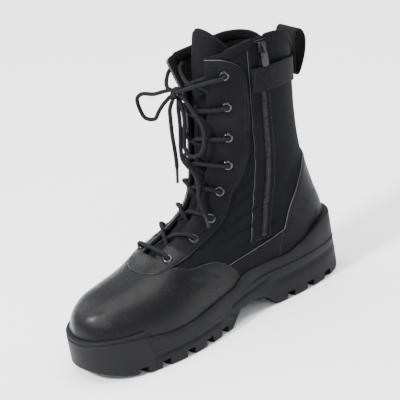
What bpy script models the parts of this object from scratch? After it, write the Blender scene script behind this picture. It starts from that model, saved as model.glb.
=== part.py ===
"""A right-foot combat boot: cupped lugged outsole, hollow upper with its overlays, tongue, insole, eyelets, laces,
side zip, ankle strap and pull loop.

Metres, +Z up. The toe points to -Y and the side zip, on the inner side of the foot, to +X.
The origin is on the floor, under the middle of the heel's middle lug.
"""

import math

import bmesh
import bpy
import numpy as np
from mathutils import Matrix, Vector
from mathutils.bvhtree import BVHTree

# Driving sizes of the boot
LENGTH = 0.298
BALL_WIDTH = 0.109
INSTEP_HEIGHT = 0.111
SHAFT_HEIGHT = 0.264
HEEL_SEAT = 0.031
BALL_SEAT = 0.0175
TOE_SEAT = 0.024
HEEL_CENTRE = 0.066
# Share of SHAFT_HEIGHT at which the tables put the instep
INSTEP_SHARE = 0.4205

# Walls, layers and clearances
UPPER_WALL = 0.0022
LEATHER = 0.0014
FACING = 0.0022
GAP = 0.0003
MARGIN_LIFT = 0.0008
SEAM = 0.0004
CENTRE_BAND = 0.001
TAPE = 0.0008
CHAIN = 0.0014
STRAP = 0.0015
TONGUE = 0.0038
TONGUE_CLEARANCE = 0.0011
INSOLE = 0.003
INSOLE_CLEARANCE = 0.0005
INSOLE_MARGIN = 0.0017
LACE_DIAMETER = 0.0039

# Sections over the forefoot and instep, from the toe's stem to the heel. Each is half an arc from the ridge down
# to the feather line. Columns: ridge y and base y as shares of LENGTH from the back of the heel, ridge height as
# a share of INSTEP_HEIGHT, inner and outer half widths as shares of BALL_WIDTH, the angle that the arc turns
# through in degrees, and its squareness, where 2 is an ellipse.
FOOT_SECTIONS = (
    (0.986, 0.400, 0.986, 0.000, 0.000, 95, 2.30),
    (0.974, 0.500, 0.976, 0.142, 0.142, 95, 2.30),
    (0.946, 0.570, 0.951, 0.243, 0.248, 96, 2.35),
    (0.893, 0.622, 0.901, 0.344, 0.353, 98, 2.40),
    (0.822, 0.648, 0.832, 0.399, 0.417, 100, 2.40),
    (0.738, 0.694, 0.748, 0.431, 0.468, 100, 2.30),
    (0.658, 0.811, 0.658, 0.427, 0.472, 100, 2.10),
    (0.584, 0.896, 0.554, 0.376, 0.436, 100, 2.00),
    (0.527, 1.000, 0.436, 0.317, 0.367, 102, 1.90),
    (0.493, 1.117, 0.309, 0.312, 0.330, 106, 1.90),
    (0.475, 1.234, 0.181, 0.322, 0.331, 118, 1.95),
    (0.465, 1.324, 0.081, 0.322, 0.330, 138, 2.00),
)
# Sections of the shaft, closed round the back of the leg. Columns: ridge y and back y as shares of LENGTH,
# ridge and back heights as shares of SHAFT_HEIGHT, half widths as shares of BALL_WIDTH, and squareness.
SHAFT_SECTIONS = (
    (0.458, 0.595, 0.030, 0.152, 0.328, 0.334, 2.05),
    (0.450, 0.636, 0.028, 0.250, 0.344, 0.344, 2.05),
    (0.441, 0.686, 0.050, 0.348, 0.344, 0.344, 2.05),
    (0.433, 0.746, 0.070, 0.462, 0.347, 0.347, 2.05),
    (0.425, 0.818, 0.078, 0.591, 0.353, 0.353, 2.10),
    (0.418, 0.902, 0.071, 0.739, 0.367, 0.367, 2.10),
    (0.413, 0.992, 0.060, 0.879, 0.385, 0.385, 2.15),
    (0.406, 1.080, 0.052, 1.015, 0.399, 0.399, 2.15),
)
FIRST_SHAFT_ROW = len(FOOT_SECTIONS)
THROAT_ROW = 5.7
VIRTUAL_TOP = FIRST_SHAFT_ROW + len(SHAFT_SECTIONS) - 1
# Half width of the throat opening as a share of the arc. Columns: row along the boot, share.
THROAT_WIDTH = ((5.7, 0.110), (7.4, 0.145), (8.7, 0.160), (10.4, 0.145), (12.8, 0.118), (15.0, 0.128), (19.0, 0.150))
# Height of the collar's edge as shares of SHAFT_HEIGHT. Columns: share of the arc from the ridge to the back,
# inner side, outer side.
COLLAR_EDGE = (
    (0.00, 0.965, 0.940),
    (0.20, 0.972, 0.940),
    (0.42, 1.000, 0.940),
    (0.62, 0.992, 0.945),
    (0.78, 0.945, 0.925),
    (0.90, 0.885, 0.880),
    (1.00, 0.862, 0.862),
)
# Mesh rows along the boot and columns from the throat's edge to the base or the back
MESH_ROWS = (
    0, 0.5, 1, 1.6, 2.3, 3.1, 4, 4.9, THROAT_ROW, 6.5, 7.4, 8.3, 9.1, 9.8, 10.5, 11.2, 12, 13, 14.3, 15.6, 16.8, 18
)
SIDE_COLUMNS = 8
RIDGE_COLUMNS = 2

# Outline of the outsole. Columns: distance from the back of the heel as a share of LENGTH, inner and outer half
# widths as shares of BALL_WIDTH. In the first and last rows the widths are the radii of the round ends.
SOLE_OUTLINE = (
    (0.000, 0.340, 0.340),
    (0.067, 0.278, 0.283),
    (0.151, 0.338, 0.347),
    (0.252, 0.354, 0.362),
    (0.369, 0.346, 0.378),
    (0.503, 0.385, 0.440),
    (0.604, 0.450, 0.505),
    (0.688, 0.477, 0.523),
    (0.772, 0.468, 0.500),
    (0.839, 0.436, 0.454),
    (0.889, 0.390, 0.404),
    (0.940, 0.312, 0.321),
    (1.000, 0.410, 0.410),
)
# Height of the sole's upper edge behind the bumper. Columns: share of LENGTH, share of INSTEP_HEIGHT.
SOLE_EDGE = (
    (0.000, 0.559),
    (0.040, 0.555),
    (0.095, 0.532),
    (0.148, 0.488),
    (0.185, 0.455),
    (0.235, 0.416),
    (0.295, 0.418),
    (0.395, 0.418),
    (0.430, 0.405),
    (0.462, 0.352),
    (0.520, 0.330),
    (0.604, 0.300),
    (0.700, 0.275),
    (0.780, 0.288),
    (0.825, 0.312),
)
# Height of the tread. Columns: share of LENGTH, height as a share of HEEL_SEAT.
TREAD = (
    (0.000, 0.29),
    (0.036, 0.00),
    (0.322, 0.00),
    (0.348, 0.30),
    (0.376, 0.46),
    (0.430, 0.53),
    (0.470, 0.42),
    (0.500, 0.12),
    (0.512, 0.00),
    (0.845, 0.00),
    (0.925, 0.08),
    (1.000, 0.29),
)
BUMPER_START = 0.836
BUMPER_HEIGHT = 0.041
BUMPER_PROUD = 0.0012
BUMPER_LIP = 0.0035
SOLE_CHAMFER = 0.003
SOLE_DRAFT = 0.0012
SIDE_GROOVE = 0.0012
HEEL_STEP_HEIGHT = 0.036

# Lines of the overlays as the inner side shows them, in shares of LENGTH and SHAFT_HEIGHT
FLAP_FRONT = ((0.785, 0.400), (0.785, 0.306), (0.760, 0.291), (0.712, 0.288))
FLAP_LOWER = ((0.712, 0.288), (0.658, 0.301), (0.601, 0.3125))
VAMP_REAR = ((0.712, 0.288), (0.658, 0.297), (0.612, 0.277), (0.529, 0.263), (0.483, 0.237))
VAMP_HEEL = ((0.483, 0.237), (0.472, 0.2245), (0.455, 0.200), (0.446, 0.175), (0.442, 0.152))
FACING_SEAM = ((0.601, 0.3125), (0.626, 0.352), (0.640, 0.430))
FACING_REAR = (
    (0.601, 0.3125),
    (0.492, 0.347),
    (0.436, 0.390),
    (0.395, 0.467),
    (0.364, 0.514),
    (0.337, 0.572),
    (0.324, 0.629),
    (0.308, 0.740),
    (0.303, 0.829),
    (0.304, 0.885),
    (0.326, 0.929),
    (0.360, 0.955),
    (0.391, 0.962),
    (0.440, 0.966),
)
FACING_FRONT = ((0.500, 0.966), (0.500, 0.600), (0.600, 0.470))
MUDGUARD_TOP = ((0.472, 0.2245), (0.414, 0.233), (0.363, 0.242), (0.309, 0.253), (0.246, 0.269))
COUNTER_FRONT = (
    (0.286, 0.160),
    (0.280, 0.179),
    (0.261, 0.237),
    (0.246, 0.269),
    (0.239, 0.283),
    (0.216, 0.337),
    (0.190, 0.385),
)
COUNTER_TOP = ((0.190, 0.385), (0.150, 0.440), (0.095, 0.490), (-0.030, 0.520))
COUNTER_BASE = 0.212
# Where the overlays' lower edges start and end along the sole's rim, as shares of LENGTH
VAMP_RIM = (0.460, 1.060)
MUDGUARD_RIM = (0.430, 0.300)
COUNTER_RIM = (0.000, 0.270)
ZIP_LINE = (
    (0.330, 0.268),
    (0.298, 0.404),
    (0.279, 0.507),
    (0.267, 0.599),
    (0.257, 0.771),
    (0.250, 0.890),
    (0.246, 1.010),
)
TAPE_FRONT = 0.013
TAPE_REAR = 0.008
CHAIN_HALF = 0.0033
# Middle line of the ankle strap and its width, as the inner side shows it
STRAP_LINE = ((-0.020, 0.798), (0.095, 0.826), (0.165, 0.848), (0.245, 0.857), (0.306, 0.860))
STRAP_WIDTH = 0.0245
# How far the strap lies off the upper. Columns: share of the arc from the facing to past the back, lift as a
# multiple of the zip's height.
STRAP_LIFT = ((0.422, 0.62), (0.436, 0.90), (0.450, 1.10), (0.560, 1.10), (0.650, 0.65), (0.780, 0.15), (1.160, 0.15))
ZIP_HEIGHT = 0.0034
LUG_DEPTH = 0.0055
LUG_GAP = 0.0065
HEEL_CHANNELS = (0.180, 0.264)
FOREFOOT_CHANNELS = (0.552, 0.622, 0.700, 0.790, 0.864)
CHANNEL_SLANT = math.radians(9)

# The outer side's front edge stands open at the collar: how far it leans out and forwards, and the rows it does so in
FLARE_OUT = 0.012
FLARE_FORWARD = 0.009
FLARE_ROWS = (15.6, 18.0)

# Eyelets, from the collar down. Columns: row along the boot, share of the arc from the ridge.
EYELETS = (
    (17.24, 0.264),
    (16.05, 0.267),
    (14.60, 0.255),
    (12.82, 0.240),
    (10.38, 0.286),
    (8.67, 0.340),
    (7.36, 0.314),
    (5.98, 0.246),
)
EYELET_SIDES = 8
EYELET_HOLE = 0.0031
EYELET_BORE = 0.0023
EYELET_FLANGE = 0.0048
EYELET_HEIGHT = 0.0009
EYELET_SEAT = 0.0003
EYELET_TAIL = 0.0005

# Tongue. Columns: row, half width as a share of the arc, lean into the boot as a multiple of TONGUE_LEAN.
TONGUE_ROWS = (
    (5.25, 0.160, 0.00),
    (5.85, 0.162, 0.00),
    (6.45, 0.166, 0.00),
    (7.05, 0.177, 0.00),
    (7.65, 0.190, 0.00),
    (8.25, 0.203, 0.00),
    (8.85, 0.208, 0.00),
    (9.40, 0.207, 0.00),
    (9.90, 0.204, 0.00),
    (10.40, 0.197, 0.00),
    (10.90, 0.187, 0.00),
    (11.50, 0.174, 0.00),
    (12.20, 0.168, 0.00),
    (13.20, 0.168, 0.02),
    (14.60, 0.182, 0.08),
    (16.00, 0.200, 0.24),
    (17.20, 0.217, 0.52),
    (18.10, 0.226, 0.82),
    (18.70, 0.226, 1.00),
)
TONGUE_LEAN = 0.011
TONGUE_CORNER = 0.35

# Places of the lace in metres: across from the middle plane, forward of the back of the heel, above the floor
KNOT = (-0.0080, 0.1370, 0.2230)
KNOT_SIZE = (0.0065, 0.0050, 0.0055)
LOOP_OUTER = (
    (-0.0150, 0.1388, 0.2254),
    (-0.0212, 0.1430, 0.2240),
    (-0.0310, 0.1477, 0.2212),
    (-0.0431, 0.1534, 0.2209),
    (-0.0485, 0.1559, 0.2162),
    (-0.0480, 0.1556, 0.2062),
    (-0.0440, 0.1538, 0.1970),
    (-0.0346, 0.1494, 0.1963),
    (-0.0297, 0.1471, 0.2032),
    (-0.0246, 0.1440, 0.2105),
    (-0.0190, 0.1405, 0.2165),
    (-0.0154, 0.1386, 0.2196),
)
LOOP_INNER = (
    (-0.0032, 0.1390, 0.2164),
    (0.0006, 0.1398, 0.2100),
    (0.0018, 0.1404, 0.2010),
    (0.0010, 0.1412, 0.1921),
    (0.0003, 0.1430, 0.1820),
    (0.0006, 0.1446, 0.1730),
    (0.0058, 0.1450, 0.1672),
    (0.0138, 0.1428, 0.1665),
    (0.0196, 0.1389, 0.1713),
    (0.0219, 0.1358, 0.1819),
    (0.0214, 0.1347, 0.1941),
    (0.0168, 0.1359, 0.2032),
    (0.0104, 0.1373, 0.2123),
    (0.0042, 0.1376, 0.2186),
    (-0.0004, 0.1374, 0.2224),
)
END_OUTER = (
    (-0.0108, 0.1400, 0.2186),
    (-0.0128, 0.1446, 0.2090),
    (-0.0130, 0.1460, 0.1980),
    (-0.0125, 0.1475, 0.1840),
    (-0.0115, 0.1483, 0.1698),
    (-0.0105, 0.1497, 0.1557),
    (-0.0095, 0.1530, 0.1385),
)
END_INNER = (
    (-0.0076, 0.1372, 0.2168),
    (-0.0062, 0.1398, 0.2090),
    (-0.0050, 0.1414, 0.1970),
    (-0.0050, 0.1435, 0.1830),
    (-0.0046, 0.1460, 0.1710),
    (-0.0010, 0.1483, 0.1625),
    (0.0060, 0.1488, 0.1575),
    (0.0120, 0.1473, 0.1515),
    (0.0162, 0.1470, 0.1412),
    (0.0176, 0.1503, 0.1278),
    (0.0203, 0.1510, 0.1223),
    (0.0254, 0.1515, 0.1123),
    (0.0300, 0.1530, 0.1027),
)
# Lift of the lace's middle line off the upper at the ridge, and what it gains by the time it reaches an eyelet
LACE_LIFT = 0.0048
LACE_RISE = 0.0030
LACE_SHOULDER = 0.7
# How the lace runs from the top eyelets: a little below them to a share of the arc, then to a place on the knot
TOP_DROP = 0.35
TOP_SHARE = 0.12
KNOT_ENTRIES = ((1, (0.0072, 0.0036, 0.0036)), (-1, (-0.0076, 0.0040, 0.0048)))

# Pull loop at the back: middle line of its webbing, forward of the upper's back and above the strap's middle line
PULL_LOOP = (
    (-0.0025, -0.0101),
    (-0.0033, -0.0021),
    (-0.0043, 0.0069),
    (-0.0057, 0.0159),
    (-0.0071, 0.0239),
    (-0.0111, 0.0301),
    (-0.0163, 0.0287),
    (-0.0193, 0.0199),
    (-0.0169, 0.0079),
    (-0.0119, -0.0031),
    (-0.0065, -0.0111),
)
PULL_LOOP_WIDTH = 0.030

# Place of the zip's slider as a share of SHAFT_HEIGHT, and sizes of the slider and its pull, across, along and out
# from the upper
SLIDER_PLACE = 0.9716
SLIDER_LENGTH = 0.0095
SLIDER_TOP_WIDTH = 0.0084
SLIDER_LOW_WIDTH = 0.0062
SLIDER_BASE = 0.0031
SLIDER_BODY = 0.0020
BRIDGE_LENGTH = 0.0072
BRIDGE_POST = 0.0013
BRIDGE_BAR = 0.0012
BRIDGE_ROOM = 0.0020
BRIDGE_WIDTH = 0.0022
PULL_WIDTH = 0.0074
PULL_LENGTH = 0.0170
PULL_THICKNESS = 0.0011
PULL_BAR = 0.0010
PULL_WINDOW = 0.0036
PULL_ARM = 0.0011
PULL_NECK_GAP = 0.00065
PULL_OFFSET = 0.0012


def curve(stations, values, at):
    """Value at a place on a smooth curve through the rows of a table."""
    stations = np.asarray(stations, float)
    values = np.asarray(values, float)
    slopes = np.gradient(values, stations, axis=0)
    at = min(max(float(at), stations[0]), stations[-1])
    row = min(int(np.searchsorted(stations, at, side="right")) - 1, len(stations) - 2)
    span = stations[row + 1] - stations[row]
    t = (at - stations[row]) / span
    return (
        (2 * t**3 - 3 * t**2 + 1) * values[row]
        + (t**3 - 2 * t**2 + t) * span * slopes[row]
        + (3 * t**2 - 2 * t**3) * values[row + 1]
        + (t**3 - t**2) * span * slopes[row + 1]
    )


def column(table, index):
    return [row[index] for row in table]


def place(from_heel, x, z):
    """World point from a distance measured forward from the back of the heel."""
    return Vector((x, HEEL_CENTRE - from_heel, z))


def height(share):
    """Height of a share of SHAFT_HEIGHT. What lies below the instep follows INSTEP_HEIGHT, and the shaft above it
    takes the rest."""
    if share <= INSTEP_SHARE:
        return share / INSTEP_SHARE * INSTEP_HEIGHT
    return INSTEP_HEIGHT + (share - INSTEP_SHARE) / (1 - INSTEP_SHARE) * (SHAFT_HEIGHT - INSTEP_HEIGHT)


def seat_height(share):
    """Height of the footbed at a share of LENGTH from the back of the heel."""
    stations = (0.0, 0.20, 0.45, 0.66, 0.80, 1.0)
    middle = 0.5 * (HEEL_SEAT + BALL_SEAT)
    heights = (HEEL_SEAT, HEEL_SEAT, middle, BALL_SEAT, BALL_SEAT, TOE_SEAT)
    return float(curve(stations, heights, share))


def section_rows():
    """Both section tables in metres: ridge y, ridge z, base y, base z, inner, outer, turn, square."""
    rows = []
    for ridge_y, ridge_z, base_y, inner, outer, turn, square in FOOT_SECTIONS:
        rows.append((
            ridge_y * LENGTH,
            height(ridge_z * INSTEP_SHARE),
            base_y * LENGTH,
            seat_height(base_y) + MARGIN_LIFT,
            inner * BALL_WIDTH,
            outer * BALL_WIDTH,
            math.radians(turn),
            square,
        ))
    for ridge_y, ridge_z, back_y, back_z, inner, outer, square in SHAFT_SECTIONS:
        rows.append((
            ridge_y * LENGTH,
            height(ridge_z),
            back_y * LENGTH,
            height(back_z),
            inner * BALL_WIDTH,
            outer * BALL_WIDTH,
            math.pi,
            square,
        ))
    return np.array(rows)


SECTIONS = section_rows()
SECTION_INDEX = np.arange(len(SECTIONS), dtype=float)


def power(value, exponent):
    return math.copysign(abs(value) ** exponent, value)


def ease(value):
    value = min(max(value, 0.0), 1.0)
    return value * value * (3 - 2 * value)


def flare(row, share):
    """How far the open front edge of the outer side has moved at a place, from 0 to 1."""
    low, high = FLARE_ROWS
    if share >= 0 or row <= low:
        return 0.0
    return ease((row - low) / (high - low)) * ease(-share / 0.12) * (1 - ease((-share - 0.14) / 0.36))


def surface(row, share, flared=True):
    """Point on the upper's outer face. row runs from the toe to above the collar, share from the outer side's
    base at -1 over the ridge at 0 to the inner side's base at 1."""
    ridge_y, ridge_z, base_y, base_z, inner, outer, turn, square = curve(SECTION_INDEX, SECTIONS, row)
    turn = min(turn, math.pi)
    if row >= FIRST_SHAFT_ROW:
        turn = math.pi
    angle = abs(share) * turn
    half = inner if share >= 0 else outer
    x = half * power(math.sin(angle), 2 / square)
    down = (1 - power(math.cos(angle), 2 / square)) / (1 - power(math.cos(turn), 2 / square))
    moved = flare(row, share) if flared else 0.0
    return place(
        ridge_y + (base_y - ridge_y) * down + moved * FLARE_FORWARD,
        math.copysign(x, share) - moved * FLARE_OUT,
        ridge_z + (base_z - ridge_z) * down,
    )


def outward(row, share, flared=True):
    """Direction that points out of the upper at a place on its surface."""
    step = 0.02
    along = surface(row + step, share, flared) - surface(max(row - step, 0.0), share, flared)
    across = surface(row, min(share + step, 1.0), flared) - surface(row, max(share - step, -1.0), flared)
    return across.cross(along).normalized()


def throat_share(row):
    return float(curve(column(THROAT_WIDTH, 0), column(THROAT_WIDTH, 1), row))


def collar_height(share):
    side = 1 if share >= 0 else 2
    return height(float(curve(column(COLLAR_EDGE, 0), column(COLLAR_EDGE, side), abs(share))))


def row_at_height(share, level, low=FIRST_SHAFT_ROW, high=VIRTUAL_TOP):
    """The row where a line of constant share reaches a height in metres."""
    for _ in range(40):
        middle = 0.5 * (low + high)
        if surface(middle, share).z < level:
            low = middle
        else:
            high = middle
    return 0.5 * (low + high)


def column_shares(row):
    edge = throat_share(row)
    side = [edge + (1 - edge) * k / SIDE_COLUMNS for k in range(SIDE_COLUMNS + 1)]
    centre = [edge * k / RIDGE_COLUMNS for k in range(-RIDGE_COLUMNS + 1, RIDGE_COLUMNS)]
    return [-s for s in reversed(side)] + centre + side


def grid_places():
    """Row and share of every point of the upper's mesh. The last rows close up to the collar's edge."""
    places = []
    start = FIRST_SHAFT_ROW + 2
    for row in MESH_ROWS:
        line = []
        for share in column_shares(row):
            level = row
            if row > start:
                edge = row_at_height(share, collar_height(share))
                level = start + (row - start) * (edge - start) / (MESH_ROWS[-1] - start)
            line.append((level, share))
        places.append(line)
    return places


GRID = grid_places()
COLUMNS = len(GRID[0])
CENTRE = COLUMNS // 2


def in_throat(i, j):
    """Whether the mesh cell above row i and beside column j lies in the throat opening."""
    return MESH_ROWS[i] >= THROAT_ROW and CENTRE - RIDGE_COLUMNS <= j < CENTRE + RIDGE_COLUMNS


def skin(offset, throat):
    """The upper's outer face as an open mesh of triangles, moved outwards by an offset."""
    mesh = bmesh.new()
    points = [[mesh.verts.new(surface(row, share)) for row, share in line] for line in GRID]
    for i in range(len(GRID) - 1):
        for j in range(COLUMNS - 1):
            a, b = points[i][j], points[i][j + 1]
            c, d = points[i + 1][j + 1], points[i + 1][j]
            if j < CENTRE:
                mesh.faces.new((a, b, d))
                mesh.faces.new((b, c, d))
            else:
                mesh.faces.new((a, b, c))
                mesh.faces.new((a, c, d))
    cells = []
    if throat:
        faces = list(mesh.faces)
        for i in range(len(GRID) - 1):
            for j in range(COLUMNS - 1):
                if in_throat(i, j):
                    start = 2 * (i * (COLUMNS - 1) + j)
                    cells += faces[start : start + 2]
    bmesh.ops.remove_doubles(mesh, verts=mesh.verts, dist=0.00002)
    bmesh.ops.dissolve_degenerate(mesh, edges=mesh.edges, dist=0.00001)
    mesh.normal_update()
    normals = {vert: vert.normal.copy() for vert in mesh.verts}
    for vert, normal in normals.items():
        vert.co += normal * offset
    if cells:
        bmesh.ops.delete(mesh, geom=[f for f in cells if f.is_valid], context="FACES")
    return mesh


def new_material(name, colour, roughness, metallic=0.0):
    material = bpy.data.materials.new(name)
    material.use_nodes = True
    shader = material.node_tree.nodes["Principled BSDF"]
    shader.inputs["Base Color"].default_value = (*colour, 1.0)
    shader.inputs["Roughness"].default_value = roughness
    shader.inputs["Metallic"].default_value = metallic
    material.diffuse_color = (*colour, 1.0)
    return material


def new_collection(name, helper):
    collection = bpy.data.collections.new(name)
    bpy.context.scene.collection.children.link(collection)
    collection.hide_render = helper
    return collection


def add(name, mesh, collection, material=None):
    """An object from a bmesh, with its own mesh and material."""
    data = bpy.data.meshes.new(name)
    mesh.to_mesh(data)
    mesh.free()
    thing = bpy.data.objects.new(name, data)
    collection.objects.link(thing)
    if material:
        data.materials.append(material)
    return thing


def add_cutter(name, mesh):
    bmesh.ops.recalc_face_normals(mesh, faces=mesh.faces)
    cutter = add(name, mesh, CUTTERS)
    cutter.hide_render = True
    cutter.display_type = "WIRE"
    return cutter


def cut(thing, cutter, operation="DIFFERENCE"):
    modifier = thing.modifiers.new(operation.lower(), "BOOLEAN")
    modifier.operation = operation
    modifier.solver = "EXACT"
    modifier.object = cutter


def wall(thing, thickness):
    """Give an open surface its thickness, outwards where it is positive."""
    modifier = thing.modifiers.new("wall", "SOLIDIFY")
    modifier.thickness = abs(thickness)
    modifier.offset = 1.0 if thickness > 0 else -1.0
    modifier.use_even_offset = False


def smooth_line(points, steps=2):
    """Points on a smooth curve through a few points."""
    stations = list(range(len(points)))
    count = steps * (len(points) - 1)
    return [tuple(curve(stations, points, k / steps)) for k in range(count + 1)]


def side_prism(name, outline, low_x, high_x):
    """Cutter that keeps what lies inside an outline drawn on the side view, between two distances from the
    middle plane. The outline is in metres from the back of the heel and above the floor."""
    mesh = bmesh.new()
    face = mesh.faces.new([mesh.verts.new(place(y, low_x, z)) for y, z in outline])
    moved = bmesh.ops.extrude_face_region(mesh, geom=[face])["geom"]
    bmesh.ops.translate(
        mesh, verts=[g for g in moved if isinstance(g, bmesh.types.BMVert)], vec=(high_x - low_x, 0, 0)
    )
    return add_cutter(name, mesh)


def scaled(points):
    return [(y * LENGTH, height(z)) for y, z in points]


def shifted(points, dy=0.0, dz=0.0):
    return [(y + dy, z + dz) for y, z in points]


def tube(name, points, diameter, resolution=2):
    """A cord along a polyline, as a closed mesh."""
    data = bpy.data.curves.new(name, "CURVE")
    data.dimensions = "3D"
    data.bevel_depth = diameter / 2
    data.bevel_resolution = resolution
    data.use_fill_caps = True
    spline = data.splines.new("POLY")
    spline.points.add(len(points) - 1)
    for point, co in zip(spline.points, points):
        point.co = (*co, 1.0)
    guide = bpy.data.objects.new(name, data)
    bpy.context.scene.collection.objects.link(guide)
    bpy.context.view_layer.update()
    solid = bpy.data.meshes.new_from_object(guide.evaluated_get(bpy.context.evaluated_depsgraph_get()))
    mesh = bmesh.new()
    mesh.from_mesh(solid)
    bmesh.ops.remove_doubles(mesh, verts=mesh.verts, dist=0.00001)
    bmesh.ops.recalc_face_normals(mesh, faces=mesh.faces)
    bpy.data.objects.remove(guide)
    bpy.data.curves.remove(data)
    bpy.data.meshes.remove(solid)
    return mesh


def make_last_form():
    """Closed form of the space that the upper fills in the sole's cup, one gap larger all round."""
    mesh = skin(2 * GAP + LEATHER, False)
    rim = [edge for edge in mesh.edges if edge.is_boundary]
    loops = boundary_loops(rim)
    base = min(loops, key=lambda loop: sum(v.co.z for v in loop) / len(loop))
    top = max(loops, key=lambda loop: sum(v.co.z for v in loop) / len(loop))
    lowered = bmesh.ops.extrude_edge_only(mesh, edges=[e for e in rim if e.verts[0] in base and e.verts[1] in base])
    floor = [g for g in lowered["geom"] if isinstance(g, bmesh.types.BMVert)]
    for vert in floor:
        vert.co.z = min(seat_height((HEEL_CENTRE - vert.co.y) / LENGTH), vert.co.z - 0.5 * MARGIN_LIFT)
    bridge_floor(mesh, floor)
    mesh.faces.new(top)
    bmesh.ops.triangulate(mesh, faces=[f for f in mesh.faces if len(f.verts) > 4])
    return add_cutter("last_form", mesh)


def boundary_loops(edges):
    """Closed rings of points along boundary edges."""
    links = {}
    for edge in edges:
        for vert, other in (edge.verts, reversed(edge.verts)):
            links.setdefault(vert, []).append(other)
    loops = []
    left = dict(links)
    while left:
        start = next(iter(left))
        loop, here, before = [], start, None
        while here in left:
            loop.append(here)
            following = [v for v in left.pop(here) if v is not before]
            before, here = here, following[0]
        loops.append(loop)
    return loops


def bridge_floor(mesh, verts):
    """Close a foot-shaped ring of points with strips that run across it."""
    inner = sorted((v for v in verts if v.co.x > CENTRE_BAND), key=lambda v: v.co.y)
    outer = sorted((v for v in verts if v.co.x < -CENTRE_BAND), key=lambda v: v.co.y)
    ends = sorted((v for v in verts if abs(v.co.x) <= CENTRE_BAND), key=lambda v: v.co.y)
    left, right = [ends[0], *inner, ends[-1]], [ends[0], *outer, ends[-1]]
    for k in range(len(left) - 1):
        corners = []
        for vert in (left[k], left[k + 1], right[k + 1], right[k]):
            if vert not in corners:
                corners.append(vert)
        mesh.faces.new(corners)


def sole_half(share, side):
    """Half width of the sole's outline on one side, at a share of LENGTH."""
    ratios = []
    for station, *widths in SOLE_OUTLINE:
        width = widths[side] * BALL_WIDTH
        if station in (0.0, 1.0):
            ratios.append(math.sqrt(width * LENGTH / 2))
        else:
            ratios.append(width / (2 * math.sqrt(station * (1 - station))))
    ratio = float(curve(column(SOLE_OUTLINE, 0), ratios, share))
    return ratio * 2 * math.sqrt(max(share * (1 - share), 0.0))


def tread_height(share):
    return HEEL_SEAT * float(np.interp(share, column(TREAD, 0), column(TREAD, 1)))


def edge_height(share):
    """Height of the sole's upper edge."""
    if share >= BUMPER_START:
        return BUMPER_HEIGHT
    return INSTEP_HEIGHT * float(curve(column(SOLE_EDGE, 0), column(SOLE_EDGE, 1), share))


def sole_levels(share):
    """Outward offset and height of each level of the sole's side, from the tread to the upper edge."""
    bottom, top = tread_height(share), edge_height(share)
    if share >= BUMPER_START:
        step = top - BUMPER_LIP
        proud, groove = BUMPER_PROUD, SIDE_GROOVE
    else:
        heel = 1 - min(max((share - 0.36) / 0.08, 0.0), 1.0)
        step = heel * HEEL_STEP_HEIGHT + (1 - heel) * (bottom + 0.62 * (top - bottom))
        proud, groove = 0.0, SIDE_GROOVE * (0.25 + 0.75 * heel)
    return (
        (-SOLE_CHAMFER, bottom),
        (proud - 0.0004, bottom + SOLE_CHAMFER),
        (proud, step - 0.0016),
        (proud - groove, step - 0.0002),
        (proud - groove, step + 0.0008),
        (proud - 0.0003, step + 0.0016),
        (proud - 0.4 * SOLE_DRAFT, top - 0.0010),
        (proud - SOLE_DRAFT, top),
    )


def sole_stations():
    """Shares of LENGTH where the sole's outline has a point, close together at its round ends and steps."""
    even = [0.5 * (1 - math.cos(math.pi * k / 24)) for k in range(1, 24)]
    special = [0.036, 0.322, 0.348, 0.376, 0.470, 0.500, 0.512, BUMPER_START - 0.010, BUMPER_START]
    kept = [s for s in even if min(abs(s - t) for t in special) > 0.009]
    return sorted(kept + special)


def make_outsole():
    stations = sole_stations()
    around = [(0.0, 0)] + [(s, 1) for s in stations] + [(1.0, 0)] + [(s, -1) for s in reversed(stations)]
    outline = [
        Vector((side * sole_half(share, 0 if side > 0 else 1), -share * LENGTH)) if side else
        Vector((0.0, -share * LENGTH))
        for share, side in around
    ]
    count = len(around)
    mesh = bmesh.new()
    rings = []
    for level in range(len(sole_levels(0.5))):
        ring = []
        for k, (share, _) in enumerate(around):
            tangent = (outline[(k + 1) % count] - outline[k - 1]).normalized()
            normal = Vector((-tangent.y, tangent.x))
            offset, z = sole_levels(share)[level]
            point = outline[k] + normal * offset
            ring.append(mesh.verts.new(Vector((point.x, HEEL_CENTRE + point.y, z))))
        rings.append(ring)
    for low, high in zip(rings, rings[1:]):
        for k in range(count):
            mesh.faces.new((low[k], low[(k + 1) % count], high[(k + 1) % count], high[k]))
    for ring in (rings[0], rings[-1]):
        half = len(stations) + 1
        for k in range(half):
            corners = []
            for vert in (ring[k], ring[k + 1], ring[(count - k - 1) % count], ring[(count - k) % count]):
                if vert not in corners:
                    corners.append(vert)
            mesh.faces.new(corners)
    bmesh.ops.recalc_face_normals(mesh, faces=mesh.faces)
    sole = add("outsole", mesh, BOOT, MATERIALS["rubber"])
    cut(sole, LAST_FORM)
    for index, share in enumerate((*HEEL_CHANNELS, *FOREFOOT_CHANNELS)):
        cut(sole, channel_cutter(index, share))
    return sole


def channel_cutter(index, share):
    """Slot across the tread between two rows of lugs."""
    mesh = bmesh.new()
    bmesh.ops.create_cube(mesh, size=1.0)
    slant = CHANNEL_SLANT if index % 2 else -CHANNEL_SLANT
    top = tread_height(share) + LUG_DEPTH
    bmesh.ops.transform(
        mesh,
        verts=mesh.verts,
        matrix=Matrix.Translation(place(share * LENGTH, 0.0, top - LENGTH / 20))
        @ Matrix.Rotation(slant, 4, "Z")
        @ Matrix.Diagonal((BALL_WIDTH * 1.6, LUG_GAP, LENGTH / 10, 1.0)),
    )
    return add_cutter(f"channel_{index + 1}", mesh)


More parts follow.
